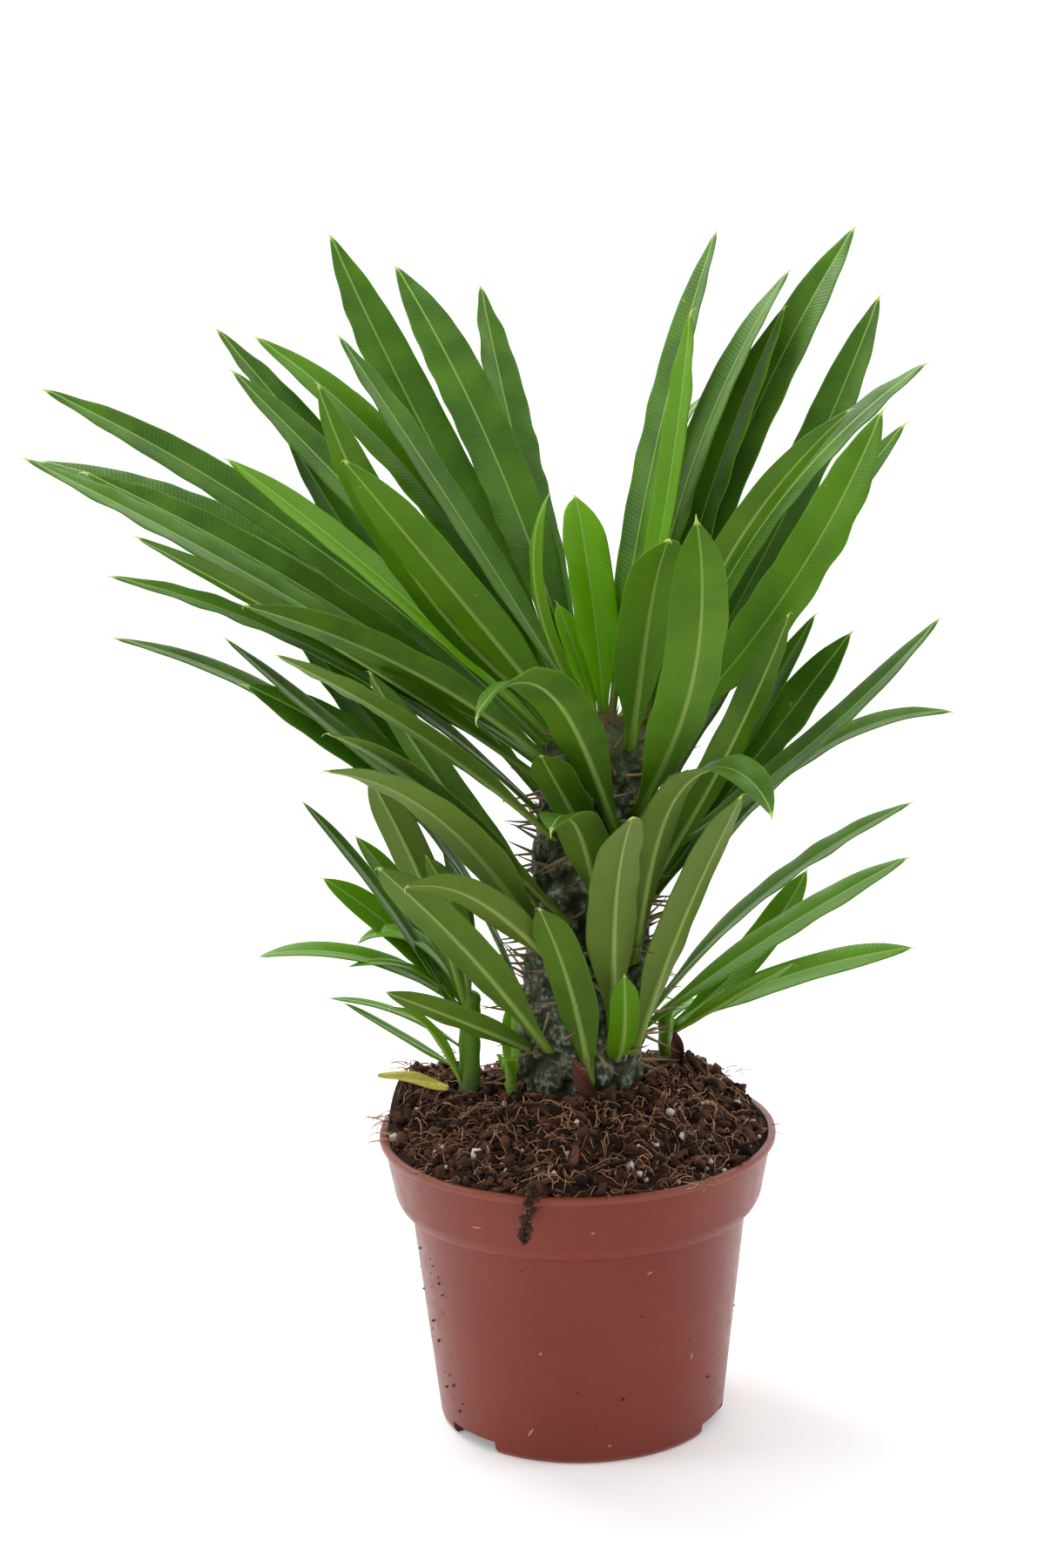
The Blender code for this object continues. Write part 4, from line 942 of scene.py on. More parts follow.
def bark_finish():
    """Young bark: waxy grey-green knobs with silvery scurf on them, and clefts between them painted near
    black as shade; every colour is kept dark as painted shade from the leaves.
    """
    made, tree, shader = new_material("grey_green_bark", 0.5, 0.3)
    spot = places(tree)
    knob = attribute(tree, "knob")
    high = attribute(tree, "high")
    cloud = noise_of(tree, spot, 95.0, 4.0)
    scurf = noise_of(tree, spot, 420.0, 5.0, 0.65)
    grain = noise_of(tree, spot, 1500.0, 3.0)
    # Painted shade: the clefts between the knobs go nearly black.
    body = blended(tree, smooth(tree, knob, 0.10, 0.62), BARK_CLEFT_SHADE, BARK_GREEN)
    body = blended(tree, smooth(tree, cloud, 0.40, 0.66, 0.0, 0.85), body, BARK_GREY)
    silver = maths(tree, "MULTIPLY", smooth(tree, knob, 0.30, 0.85),
                   smooth(tree, scurf, 0.44, 0.66))
    body = blended(tree, silver, body, BARK_SILVER)
    body = blended(tree, smooth(tree, high, 0.80, 0.97, 0.0, 0.8), body, BARK_YOUNG)
    rust = maths(tree, "MULTIPLY", smooth(tree, noise_of(tree, spot, 160.0, 3.0), 0.60, 0.74),
                 smooth(tree, high, 0.75, 0.35))
    body = blended(tree, maths(tree, "MULTIPLY", rust, 0.6), body, BARK_RUST)
    tree.links.new(body, shader.inputs["Base Color"])
    rough = maths(tree, "ADD", 0.34, maths(tree, "MULTIPLY", scurf, 0.38))
    tree.links.new(rough, shader.inputs["Roughness"])
    height = maths(tree, "ADD", scurf, maths(tree, "MULTIPLY", grain, 0.5))
    bumped(tree, shader, height, 0.6, 0.0005)
    return made


def spine_finish():
    """Woody spines: straw brown, darker to the point, reddish where they are young."""
    made, tree, shader = new_material("spine_brown", 0.45, 0.4)
    along, young = attribute(tree, "along"), attribute(tree, "young")
    grain = noise_of(tree, places(tree), 900.0, 3.0)
    body = blended(tree, smooth(tree, along, 0.15, 0.95), SPINE_STRAW, SPINE_DARK)
    body = blended(tree, young, body, SPINE_RED)
    body = blended(tree, maths(tree, "MULTIPLY", grain, 0.35), body, SPINE_GREY)
    tree.links.new(body, shader.inputs["Base Color"])
    bumped(tree, shader, grain, 0.3, 0.0001)
    return made


def shoot_finish():
    """Stems of the side shoots: green with a whitish bloom near the soil."""
    made, tree, shader = new_material("shoot_stem", 0.5, 0.4)
    along = attribute(tree, "along")
    spot = places(tree)
    cloud = noise_of(tree, spot, 260.0, 4.0)
    body = blended(tree, smooth(tree, along, 0.1, 0.55), BARK_GREEN, SHOOT_GREEN)
    bloom = maths(tree, "MULTIPLY", smooth(tree, along, 0.45, 0.1), smooth(tree, cloud, 0.4, 0.62))
    body = blended(tree, bloom, body, BARK_SILVER)
    tree.links.new(body, shader.inputs["Base Color"])
    shader.inputs["Subsurface Weight"].default_value = 0.2
    shader.inputs["Subsurface Radius"].default_value = (0.5, 1.0, 0.2)
    shader.inputs["Subsurface Scale"].default_value = 0.001
    bumped(tree, shader, cloud, 0.4, 0.0003)
    return made


# The bark's colours are darkened to paint in the shade that the leaves cast on the trunk, and the cleft
# colour is painted shade between the knobs.
BARK_CLEFT_SHADE = srgb(14, 12, 6)
BARK_GREEN = srgb(38, 46, 20)
BARK_GREY = srgb(54, 62, 36)
BARK_SILVER = srgb(140, 148, 128)
BARK_YOUNG = srgb(50, 64, 22)
BARK_RUST = srgb(70, 44, 26)
SPINE_STRAW = srgb(172, 142, 100)
SPINE_DARK = srgb(112, 82, 54)
SPINE_RED = srgb(150, 84, 50)
SPINE_GREY = srgb(120, 116, 96)
SHOOT_GREEN = srgb(88, 130, 16)

KNOB_TURN = 137.508
KNOB_LOW_Z = 80.0
KNOB_HIGH_Z = 211.0
KNOB_COUNT = 205
KNOB_WIDE = 5.4
KNOB_HIGH = 2.3
TRUNK_AROUND = 168
TRUNK_UP = 230


def knob_places():
    """The bark's knobs, on one spiral: (height, side in radians, size)."""
    chance = random.Random(11)
    found = []
    for i in range(KNOB_COUNT):
        share = i / (KNOB_COUNT - 1)
        z = KNOB_LOW_Z + (KNOB_HIGH_Z - KNOB_LOW_Z) * share
        side = math.radians(KNOB_TURN * i) + chance.uniform(-0.07, 0.07)
        found.append((z + chance.uniform(-0.8, 0.8), side % (2 * math.pi), chance.uniform(0.75, 1.2)))
    return found


def knob_field(z, sides, knobs):
    """How far each point of a ring stands out for its knobs, 0 to 1, and the cleft around them."""
    radius = trunk_radius(z)
    best = np.zeros(len(sides))
    for kz, kside, size in knobs:
        if abs(kz - z) > 2.4 * KNOB_WIDE:
            continue
        apart = (sides - kside + math.pi) % (2 * math.pi) - math.pi
        dz = (z - kz) * (0.80 if z > kz else 1.05)
        d = np.hypot(apart * radius, dz) / (KNOB_WIDE * size)
        best = np.maximum(best, np.clip(1 - d * d, 0, 1) ** 0.8 * (0.75 + 0.25 * size))
    return best


def trunk_piece():
    knobs = knob_places()
    sides = np.arange(TRUNK_AROUND) * 2 * math.pi / TRUNK_AROUND
    share = np.linspace(0, 1, TRUNK_UP)
    heights = TRUNK_FOOT_Z + 4.0 + (TRUNK_TOP_Z - 0.15 - TRUNK_FOOT_Z - 4.0) * (
        1 - (1 - share) ** 1.25
    )
    points, field = [], []
    for z in heights:
        middle, radius = trunk_axis(z), trunk_radius(z)
        knob = knob_field(z, sides, knobs)
        dome = min(1.0, max(0.25, (TRUNK_TOP_Z + 2.0 - z) / 12.0))
        ring = []
        for side, k in zip(sides, knob):
            way = Vector((math.cos(side), math.sin(side), 0.0))
            spot = Vector(middle) + way * radius
            rough = noise.fractal(spot * 0.35, 1.0, 2.0, 4) * 0.45
            out = radius - 1.0 * dome + KNOB_HIGH * k * dome + rough * dome
            ring.append(Vector(middle) + way * out)
        points.append(ring)
        field.append(knob)
    field = np.array(field)
    top = trunk_axis(TRUNK_TOP_Z)
    verts = np.array([list(p) for ring in points for p in ring] + [list(points[0][0] * 0), list(top)])
    verts[-2] = trunk_axis(heights[0])
    n, m = TRUNK_UP, TRUNK_AROUND
    faces = grid_faces(n, m, around=True)
    for j in range(m):
        k = (j + 1) % m
        faces.append((n * m, k, j))
        faces.append((n * m + 1, (n - 1) * m + j, (n - 1) * m + k))
    high = (verts[:, 2] - 90.0) / (TRUNK_TOP_Z - 90.0)
    shape = Shape()
    shape.add(verts, faces, knob=np.concatenate([field.reshape(-1), [0.3, 0.6]]),
              high=np.clip(high, 0, 1))
    return shape, knobs


def leaf_skins():
    """One tree of all the leaves' skins, which the spines stay clear of."""
    points, faces, count = [], [], 0
    for obj in bpy.data.objects:
        if obj.type == "MESH" and (obj.name.endswith("_blade") or obj.name.endswith("_blades")):
            points += [tuple(v.co / MM) for v in obj.data.vertices]
            faces += [tuple(i + count for i in p.vertices) for p in obj.data.polygons]
            count += len(obj.data.vertices)
    return BVHTree.FromPolygons(points, faces)


def spine_points(foot, way, long, bow, steps=6):
    """A spine's centre line, a little bowed to one side, and its radii."""
    way = np.array(way) / np.linalg.norm(way)
    side = np.cross(way, (0.0, 0.0, 1.0))
    side /= max(np.linalg.norm(side), 1e-6)
    up = np.cross(side, way)
    share = np.linspace(0, 1, steps)
    points = foot + np.outer(share * long, way) + np.outer(bow * (share**2) * long, up)
    radii = 0.60 * (1 - share) ** 0.85 + 0.05
    radii[0] *= 1.25
    return points, radii


def spines_piece(knobs):
    chance = random.Random(29)
    skins = leaf_skins()
    shape = Shape()
    count = 0
    for kz, kside, size in knobs:
        if kz < 96.0:
            continue
        if kz < 112.0 and chance.random() < 0.45:
            continue
        radius = trunk_radius(kz)
        out = radius + KNOB_HIGH * 0.55
        share = (kz - 96.0) / 120.0
        pair = (-1.0, 1.0) if chance.random() < 0.88 else (-1.0, 0.0, 1.0)
        for hand in pair:
            spread = hand * chance.uniform(0.16, 0.60) + chance.uniform(-0.08, 0.08)
            tilt = math.radians(chance.uniform(-22, 34) + 22 * max(0.0, share - 0.8) / 0.2)
            side = kside + hand * 0.05
            aim = side + spread
            foot = trunk_axis(kz) + np.array(
                [(out - 1.6) * math.cos(side), (out - 1.6) * math.sin(side), chance.uniform(-0.6, 0.2)]
            )
            way = (math.cos(aim) * math.cos(tilt), math.sin(aim) * math.cos(tilt), math.sin(tilt))
            long = chance.uniform(9.0, 15.5) * (0.62 if hand == 0.0 else 1.0)
            if share > 0.9:
                long *= 0.7
            for trial in range(3):
                points, radii = spine_points(foot, way, long, chance.uniform(-0.05, 0.12))
                clear = True
                for p in points[2:]:
                    near = skins.find_nearest(tuple(p))
                    if near[3] is not None and near[3] < 0.7:
                        clear = False
                if points[-1][2] < soil_height(points[-1][0], points[-1][1]) + 1.0:
                    clear = False
                if clear:
                    break
                long *= 0.72
                aim += chance.uniform(-0.3, 0.3)
                way = (math.cos(aim) * math.cos(tilt), math.sin(aim) * math.cos(tilt),
                       math.sin(tilt))
            if not clear:
                continue
            verts, faces = tube(points, radii, 7)
            along = np.concatenate([np.repeat(np.linspace(0, 1, len(points)), 7), [0.0, 1.0]])
            shape.add(verts, faces, along=along,
                      young=np.full(len(verts), min(1.0, max(0.0, share - 0.82) * 5.0)))
            count += 1
    # Soft new spines stand round the growing point.
    for i in range(26):
        side = math.radians(137.5 * i)
        z = 212.0 + 3.6 * i / 26
        radius = trunk_radius(min(z, 215.6)) * chance.uniform(0.5, 0.98)
        foot = trunk_axis(z) + np.array([radius * math.cos(side), radius * math.sin(side), -1.0])
        tilt = math.radians(chance.uniform(38, 80))
        way = (math.cos(side) * math.cos(tilt), math.sin(side) * math.cos(tilt), math.sin(tilt))
        points, radii = spine_points(foot, way, chance.uniform(6.0, 12.0), 0.06)
        if any((skins.find_nearest(tuple(p))[3] or 9.0) < 0.6 for p in points[2:]):
            continue
        verts, faces = tube(points, radii * 0.85, 7)
        along = np.concatenate([np.repeat(np.linspace(0, 1, len(points)), 7), [0.0, 1.0]])
        shape.add(verts, faces, along=along, young=np.full(len(verts), 0.95))
    print("spines:", count)
    return shape


def shoot_piece(name):
    """A side shoot's stem, with slight rings."""
    foot, top, foot_r, top_r = SHOOTS[name]
    steps = 26
    points, radii = [], []
    for i in range(steps):
        share = i / (steps - 1)
        spot, radius = shoot_at(name, foot[2] + 2.0 + (top[2] - foot[2] - 2.0) * share)
        ring = 0.16 * math.sin(share * 30.0) + 0.12 * math.sin(share * 77.0 + 1.0)
        points.append(spot + np.array([0.3 * math.sin(share * 5.0), 0.2 * math.cos(share * 6.0), 0]))
        radii.append(radius + ring)
    for k in range(1, 5):
        spot = np.array(top) + np.array([0, 0, 0.25 * k * top_r])
        points.append(spot)
        radii.append(top_r * math.sqrt(max(0.04, 1 - (k / 4.2) ** 2)))
    verts, faces = tube(points, radii, 20)
    along = np.concatenate([np.repeat(np.linspace(0, 1, len(points)), 20), [0.0, 1.0]])
    shape = Shape()
    shape.add(verts, faces, along=along)
    return shape


BARK = bark_finish()
SPINES = spine_finish()
SHOOT = shoot_finish()

trunk_shape, KNOBS = trunk_piece()
trunk_shape.build("trunk_bark", BARK, "bark", ["main_stem"])
spines_piece(KNOBS).build("trunk_spines", SPINES, "bark")
for name in SHOOTS:
    shoot_piece(name).build(name + "_stem", SHOOT, "shoot", [name])


# ---------------------------------------------------------------- soil


def soil_finish():
    """Moist peat and coir: dark red-brown crumbs, with painted shade that makes the hollows nearly
    black.
    """
    made, tree, shader = new_material("peat_and_coir", 0.9, 0.25)
    spot = places(tree)
    deep = attribute(tree, "deep")
    clump = noise_of(tree, spot, 160.0, 5.0, 0.7)
    grain = noise_of(tree, spot, 700.0, 5.0, 0.7)
    body = blended(tree, smooth(tree, grain, 0.34, 0.66), SOIL_DARK, SOIL_BROWN)
    body = blended(tree, smooth(tree, clump, 0.48, 0.70, 0.0, 0.75), body, SOIL_RED)
    # Painted shade: the low points of the surface and the skirt inside the pot's wall go nearly black.
    body = blended(tree, smooth(tree, deep, 0.35, 0.9, 0.0, 0.9), body, SOIL_HOLLOW_SHADE)
    tree.links.new(body, shader.inputs["Base Color"])
    bumped(tree, shader, grain, 1.0, 0.0012)
    return made


def crumb_finish(name, dark, light, roughness=0.9, spec=0.25):
    """Loose bits, each of its own shade between two."""
    made, tree, shader = new_material(name, roughness, spec)
    tone = attribute(tree, "tone")
    grain = noise_of(tree, places(tree), 900.0, 4.0, 0.65)
    body = blended(tree, tone, dark, light)
    body = blended(tree, smooth(tree, grain, 0.35, 0.75, 0.45, 0.0), body, dark)
    tree.links.new(body, shader.inputs["Base Color"])
    bumped(tree, shader, grain, 0.7, 0.0004)
    return made


# SOIL_HOLLOW_SHADE is painted shade for the soil's hollows and the skirt inside the wall.
SOIL_HOLLOW_SHADE = srgb(14, 8, 6)
SOIL_DARK = srgb(26, 14, 9)
SOIL_BROWN = srgb(60, 34, 22)
SOIL_RED = srgb(98, 58, 40)
CRUMB_DARK = srgb(24, 13, 9)
CRUMB_LIGHT = srgb(116, 74, 54)
FIBRE_DARK = srgb(104, 62, 42)
FIBRE_LIGHT = srgb(222, 172, 132)
PERLITE_GREY = srgb(168, 160, 150)
PERLITE_WHITE = srgb(232, 228, 222)
BARK_CHIP_DARK = srgb(40, 20, 14)
BARK_CHIP_LIGHT = srgb(128, 76, 52)
HUSK_DARK = srgb(24, 12, 8)
HUSK_LIGHT = srgb(122, 62, 38)

SOIL_RIM_R = 57.3


def pot_inside(z):
    """Radius of the pot's inner wall at a height."""
    return float(np.interp(z, (4.0, 67.6, 69.6, 73.1, 88.4, 90.7), (42.1, 49.6, 51.7, 54.3, 57.3, 57.6)))


SOIL_RINGS = 100
SOIL_AROUND = 220
POT_TOP_Z = 91.0


def soil_top(x, y):
    """The soil's uneven surface: the mound with clods, hollows and grains."""
    far = math.hypot(x, y) / SOIL_RIM_R
    z = float(soil_height(x, y))
    spot = Vector((x, y, 0.0))
    clods = noise.fractal(spot / 11.0, 0.9, 2.1, 4) * 2.2
    grains = noise.fractal(spot / 3.1 + Vector((7, 3, 1)), 0.8, 2.2, 4) * 1.35
    edge = min(1.0, max(0.25, (1.02 - far) / 0.12))
    return z + (clods + grains) * edge - 1.0


def soil_piece():
    points, deep = [], []
    for i in range(SOIL_RINGS):
        share = i / (SOIL_RINGS - 1)
        far = SOIL_RIM_R * share**0.8
        for j in range(SOIL_AROUND):
            turn = 2 * math.pi * j / SOIL_AROUND
            x, y = far * math.cos(turn), far * math.sin(turn)
            z = soil_top(x, y)
            inner = pot_inside(z) - 0.15
            if far > inner:
                x, y = inner * math.cos(turn), inner * math.sin(turn)
            points.append((x, y, z))
            # deep is painted shade: the lower a point lies under the mound, the more it gets.
            deep.append(min(1.0, max(0.0, 0.5 - 0.28 * (z - float(soil_height(x, y)) + 1.0))))
    n, m = SOIL_RINGS, SOIL_AROUND
    # The skirt runs down inside the pot's wall, darkened with painted shade.
    for drop, inset in ((4.0, 0.5), (14.0, 1.6)):
        for j in range(m):
            turn = 2 * math.pi * j / m
            x, y = SOIL_RIM_R * math.cos(turn), SOIL_RIM_R * math.sin(turn)
            z = float(soil_height(x, y)) - drop
            far = pot_inside(z) - inset
            points.append((far * math.cos(turn), far * math.sin(turn), z))
            deep.append(0.8)
    faces = grid_faces(n + 2, m, flip=True, around=True)
    points.append((0.0, 0.0, 76.0))
    deep.append(1.0)
    last = (n + 1) * m
    for j in range(m):
        faces.append((len(points) - 1, last + j, last + (j + 1) % m))
    shape = Shape()
    shape.add(np.array(points), faces, deep=np.array(deep))
    return shape


def grain_mesh(chance, size, stretch=(1.0, 1.0, 1.0), knobs=0.28):
    """A small irregular grain about the origin: points and faces."""
    bm = bmesh.new()
    bmesh.ops.create_icosphere(bm, subdivisions=1, radius=1.0)
    shift = Vector([chance.uniform(0, 50) for _ in range(3)])
    turn = Matrix.Rotation(chance.uniform(0, 6.28), 3, Vector(
        (chance.uniform(-1, 1), chance.uniform(-1, 1), chance.uniform(0.1, 1))).normalized())
    points = []
    for vert in bm.verts:
        p = Vector([c * s for c, s in zip(vert.co, stretch)])
        p *= 1.0 + knobs * noise.noise(vert.co * 1.7 + shift) * 2.0
        points.append(list(turn @ p * size))
    faces = [tuple(v.index for v in f.verts) for f in bm.faces]
    bm.free()
    return np.array(points), faces


def scattered(chance, far_low=0.0, far_high=1.0):
    """A place on the soil, evenly over its disc, clear of the trunk's foot."""
    while True:
        far = SOIL_RIM_R * math.sqrt(chance.uniform(far_low**2, far_high**2))
        turn = chance.uniform(0, 2 * math.pi)
        x, y = far * math.cos(turn), far * math.sin(turn)
        middle = trunk_axis(95.0)
        if math.hypot(x - middle[0], y - middle[1]) > 18.0:
            return x, y


def crumbs_piece():
    """Loose crumbs of peat over the whole surface."""
    chance = random.Random(5)
    shape = Shape()
    for i in range(1500):
        x, y = scattered(chance, 0.0, 0.985)
        size = 0.55 + 1.5 * chance.random() ** 2.6
        points, faces = grain_mesh(chance, size, (1.3, 1.0, 0.75), 0.35)
        z = soil_top(x, y) + size * chance.uniform(0.0, 0.75)
        shape.add(points + (x, y, z), faces, tone=chance.random() ** 1.6)
    return shape


def perlite_piece():
    """White grains of perlite, the larger ones where the photograph's view meets them."""
    chance = random.Random(17)
    shape = Shape()
    seen = [
        (-55, -9, 1.5), (-30, -33, 2.0), (-21, -41, 1.2), (0, -24, 1.0), (15, -42, 1.7),
        (-7, -47, 1.0), (10, -47, 1.1), (35, -19, 1.0), (31, -24, 1.3), (28, -13, 1.6),
        (49, 10, 1.5), (53, 0, 1.0), (39, -34, 1.1), (43, -36, 0.9), (-40, -24, 0.9),
        (18, -45, 1.2), (-3, -36, 0.8), (44, 22, 1.2), (22, -30, 0.8),
    ]
    for x, y, size in seen:
        points, faces = grain_mesh(chance, size, knobs=0.32)
        shape.add(points + (x, y, soil_top(x, y) + size * 0.55), faces, tone=chance.uniform(0.5, 1))
    for i in range(90):
        x, y = scattered(chance, 0.1, 0.97)
        size = 0.35 + 0.75 * chance.random() ** 2
        points, faces = grain_mesh(chance, size, knobs=0.32)
        shape.add(points + (x, y, soil_top(x, y) + size * 0.4), faces, tone=chance.random())
    return shape


def fibre_path(chance, start, heading, long, curl, lift, steps=9):
    """A coir fibre's line: it wanders over the soil and rises off it in the middle."""
    points = []
    spot, way = np.array(start, float), heading
    bend = chance.uniform(-curl, curl)
    for k in range(steps):
        share = k / (steps - 1)
        ground = soil_top(spot[0], spot[1]) if math.hypot(spot[0], spot[1]) < SOIL_RIM_R else None
        rise = lift * math.sin(math.pi * min(1.0, share * 1.05)) + 0.3
        z = ground + rise if ground is not None else points[-1][2] - 0.5 if points else start[2]
        points.append((spot[0], spot[1], z))
        way += bend / steps + chance.uniform(-0.25, 0.25)
        spot = spot + np.array([math.cos(way), math.sin(way), 0.0]) * long / steps
    return np.array(points)


def fibres_piece():
    """Curly coir fibres, single and in tufts, with a few out over the rim."""
    chance = random.Random(41)
    shape = Shape()
    for i in range(1250):
        x, y = scattered(chance, 0.0, 0.97)
        long = 4.0 + 15.0 * chance.random() ** 1.7
        lift = chance.uniform(0.2, 2.6) * (0.4 + 0.6 * chance.random())
        points = fibre_path(chance, (x, y, 90.0), chance.uniform(0, 6.28), long,
                            chance.uniform(0.5, 4.5), lift)
        if math.hypot(points[-1][0], points[-1][1]) > SOIL_RIM_R - 0.5:
            continue
        thick = 0.10 + 0.14 * chance.random()
        radii = thick * np.array([0.6, 0.9, 1, 1, 1, 1, 0.9, 0.7, 0.3])
        verts, faces = tube(points, radii, 4)
        shape.add(verts, faces, tone=chance.random() ** 1.4)
    # Tufts that stick out over the left edge and the front rim.
    for x, y, z, heading, count, long in (
        (-56, 6, 93, 3.2, 26, 9.0), (-54, -6, 92, 3.4, 18, 8.0), (-50, 22, 104, 2.7, 18, 7.0),
        (-40, 34, 103, 2.2, 10, 6.0), (46, 30, 97, 0.7, 10, 6.0), (33, -47, 91.4, -1.1, 9, 7.0),
        (38, -44, 91.4, -1.0, 7, 6.0), (-15, -53, 91.6, -1.8, 7, 5.0), (56, -6, 92, -0.1, 6, 4.0),
        (-42, -37, 92, -2.3, 8, 5.0), (6, -54, 91.6, -1.5, 5, 4.0),
    ):
        for k in range(count):
            way = heading + chance.uniform(-0.9, 0.9)
            reach = long * chance.uniform(0.45, 1.1)
            rise = chance.uniform(-0.35, 0.9)
            bend = chance.uniform(-1.6, 1.6)
            spot = np.array([x, y, z]) + np.array(
                [chance.uniform(-4, 4), chance.uniform(-4, 4), chance.uniform(-1, 0.5)])
            points = []
            for s in np.linspace(0, 1, 8):
                points.append(spot + reach * s * np.array(
                    [math.cos(way + bend * s), math.sin(way + bend * s),
                     rise * (1 - 0.9 * s) - 0.25 * s]))
            thick = 0.10 + 0.10 * chance.random()
            radii = thick * np.array([0.8, 1, 1, 1, 0.9, 0.8, 0.6, 0.3])
            verts, faces = tube(np.array(points), radii, 4)
            shape.add(verts, faces, tone=chance.random())
    return shape


def chip(chance, long, wide, thick):
    """A split chip of bark, longer than wide, with ragged ends."""
    rows, cols = 7, 5
    points = []
    for side in (1.0, -1.0):
        for i in range(rows):
            s = i / (rows - 1) - 0.5
            w = wide * (0.55 + 0.45 * math.cos(s * 2.6)) / 2
            for j in range(cols):
                c = j / (cols - 1) * 2 - 1
                points.append((
                    s * long + 0.12 * wide * math.sin(3.0 * c + i),
                    c * w,
                    side * thick / 2 * (1 - 0.5 * c * c) + chance.uniform(-0.1, 0.1) * thick,
                ))
    n = rows * cols
    faces = grid_faces(rows, cols, flip=True) + grid_faces(rows, cols, start=n)
    for i in range(rows - 1):
        a, b = i * cols, (i + 1) * cols
        faces.append((a, n + a, n + b, b))
        a, b = a + cols - 1, b + cols - 1
        faces.append((a, b, n + b, n + a))
    for j in range(cols - 1):
        faces.append((j, j + 1, n + j + 1, n + j))
        e = (rows - 1) * cols + j
        faces.append((e, n + e, n + e + 1, e + 1))
    return np.array(points), faces


def turned(points, heading, tilt, spin=0.0):
    turn = Matrix.Rotation(heading, 3, "Z") @ Matrix.Rotation(-tilt, 3, "Y") @ Matrix.Rotation(
        spin, 3, "X")
    return np.array([list(turn @ Vector(p)) for p in points])


def chips_piece():
    """Chips of bark lying in the soil, two of them large."""
    chance = random.Random(23)
    shape = Shape()
    for x, y, long, wide, heading, tilt, tone in (
        (-1.0, -40.0, 10.0, 2.4, 1.45, 0.55, 0.85), (44.0, -29.0, 11.0, 3.2, -0.45, 0.25, 0.2),
        (12.0, -42.0, 7.0, 3.0, 0.2, 0.1, 0.0), (30.0, -35.0, 6.0, 2.2, 0.9, 0.2, 0.3),
        (-26.0, -26.0, 6.5, 2.2, 0.5, 0.3, 0.3), (37.0, 11.0, 5.0, 2.6, 2.1, 0.3, 1.0),
        (-44.0, 4.0, 6.0, 2.0, 2.8, 0.3, 0.4), (48.0, -12.0, 6.0, 2.4, 1.1, 0.2, 0.35),
    ):
        points, faces = chip(chance, long, wide, 1.0)
        points = turned(points, heading, tilt, chance.uniform(-0.4, 0.4))
        shape.add(points + (x, y, soil_top(x, y) + 1.0), faces, tone=tone)
    for i in range(170):
        x, y = scattered(chance, 0.05, 0.95)
        long = chance.uniform(1.8, 5.0)
        points, faces = chip(chance, long, long * chance.uniform(0.25, 0.5), 0.5)
        points = turned(points, chance.uniform(0, 6.28), chance.uniform(-0.4, 0.6),
                        chance.uniform(-0.6, 0.6))
        shape.add(points + (x, y, soil_top(x, y) + 0.6), faces, tone=chance.random() ** 2)
    return shape


def clump_piece():
    """Peat held by roots, which hangs out over the front of the rim."""
    chance = random.Random(31)
    shape = Shape()
    line = [(-11.5, -53.5, 92.6), (-12.5, -57.5, 92.4), (-14.0, -60.6, 90.2), (-15.2, -61.4, 86.4),
            (-15.4, -61.2, 82.6), (-16.6, -61.0, 78.8)]
    for k in range(70):
        s = chance.random() ** 0.9 * (len(line) - 1.001)
        i = int(s)
        a, b = np.array(line[i]), np.array(line[i + 1])
        spot = a + (b - a) * (s - i)
        wide = 2.2 * (1.0 - 0.10 * s)
        spot = spot + np.array([chance.uniform(-wide, wide), chance.uniform(-1.1, 0.5),
                                chance.uniform(-0.9, 0.9)])
        size = 0.5 + 0.95 * chance.random() ** 1.5
        points, faces = grain_mesh(chance, size, (1.0, 0.8, 1.3), 0.4)
        shape.add(points + spot, faces, tone=0.55 * chance.random())
    for k in range(46):
        s = chance.random() * (len(line) - 1.001)
        i = int(s)
        a, b = np.array(line[i]), np.array(line[i + 1])
        spot = a + (b - a) * (s - i)
        way = np.array([chance.uniform(-1, 1), chance.uniform(-0.6, 0.1), chance.uniform(-1.2, 0.5)])
        bend = np.array([chance.uniform(-1, 1), 0.0, chance.uniform(-1, 1)]) * 0.5
        reach = chance.uniform(1.5, 5.0)
        points = np.array([spot + reach * (t * way + t * t * bend) for t in np.linspace(0, 1, 7)])
        verts, faces = tube(points, 0.13 * np.array([1, 1, 1, 0.9, 0.8, 0.6, 0.3]), 4)
        shape.add(verts, faces, tone=0.35 + 0.6 * chance.random())
    return shape


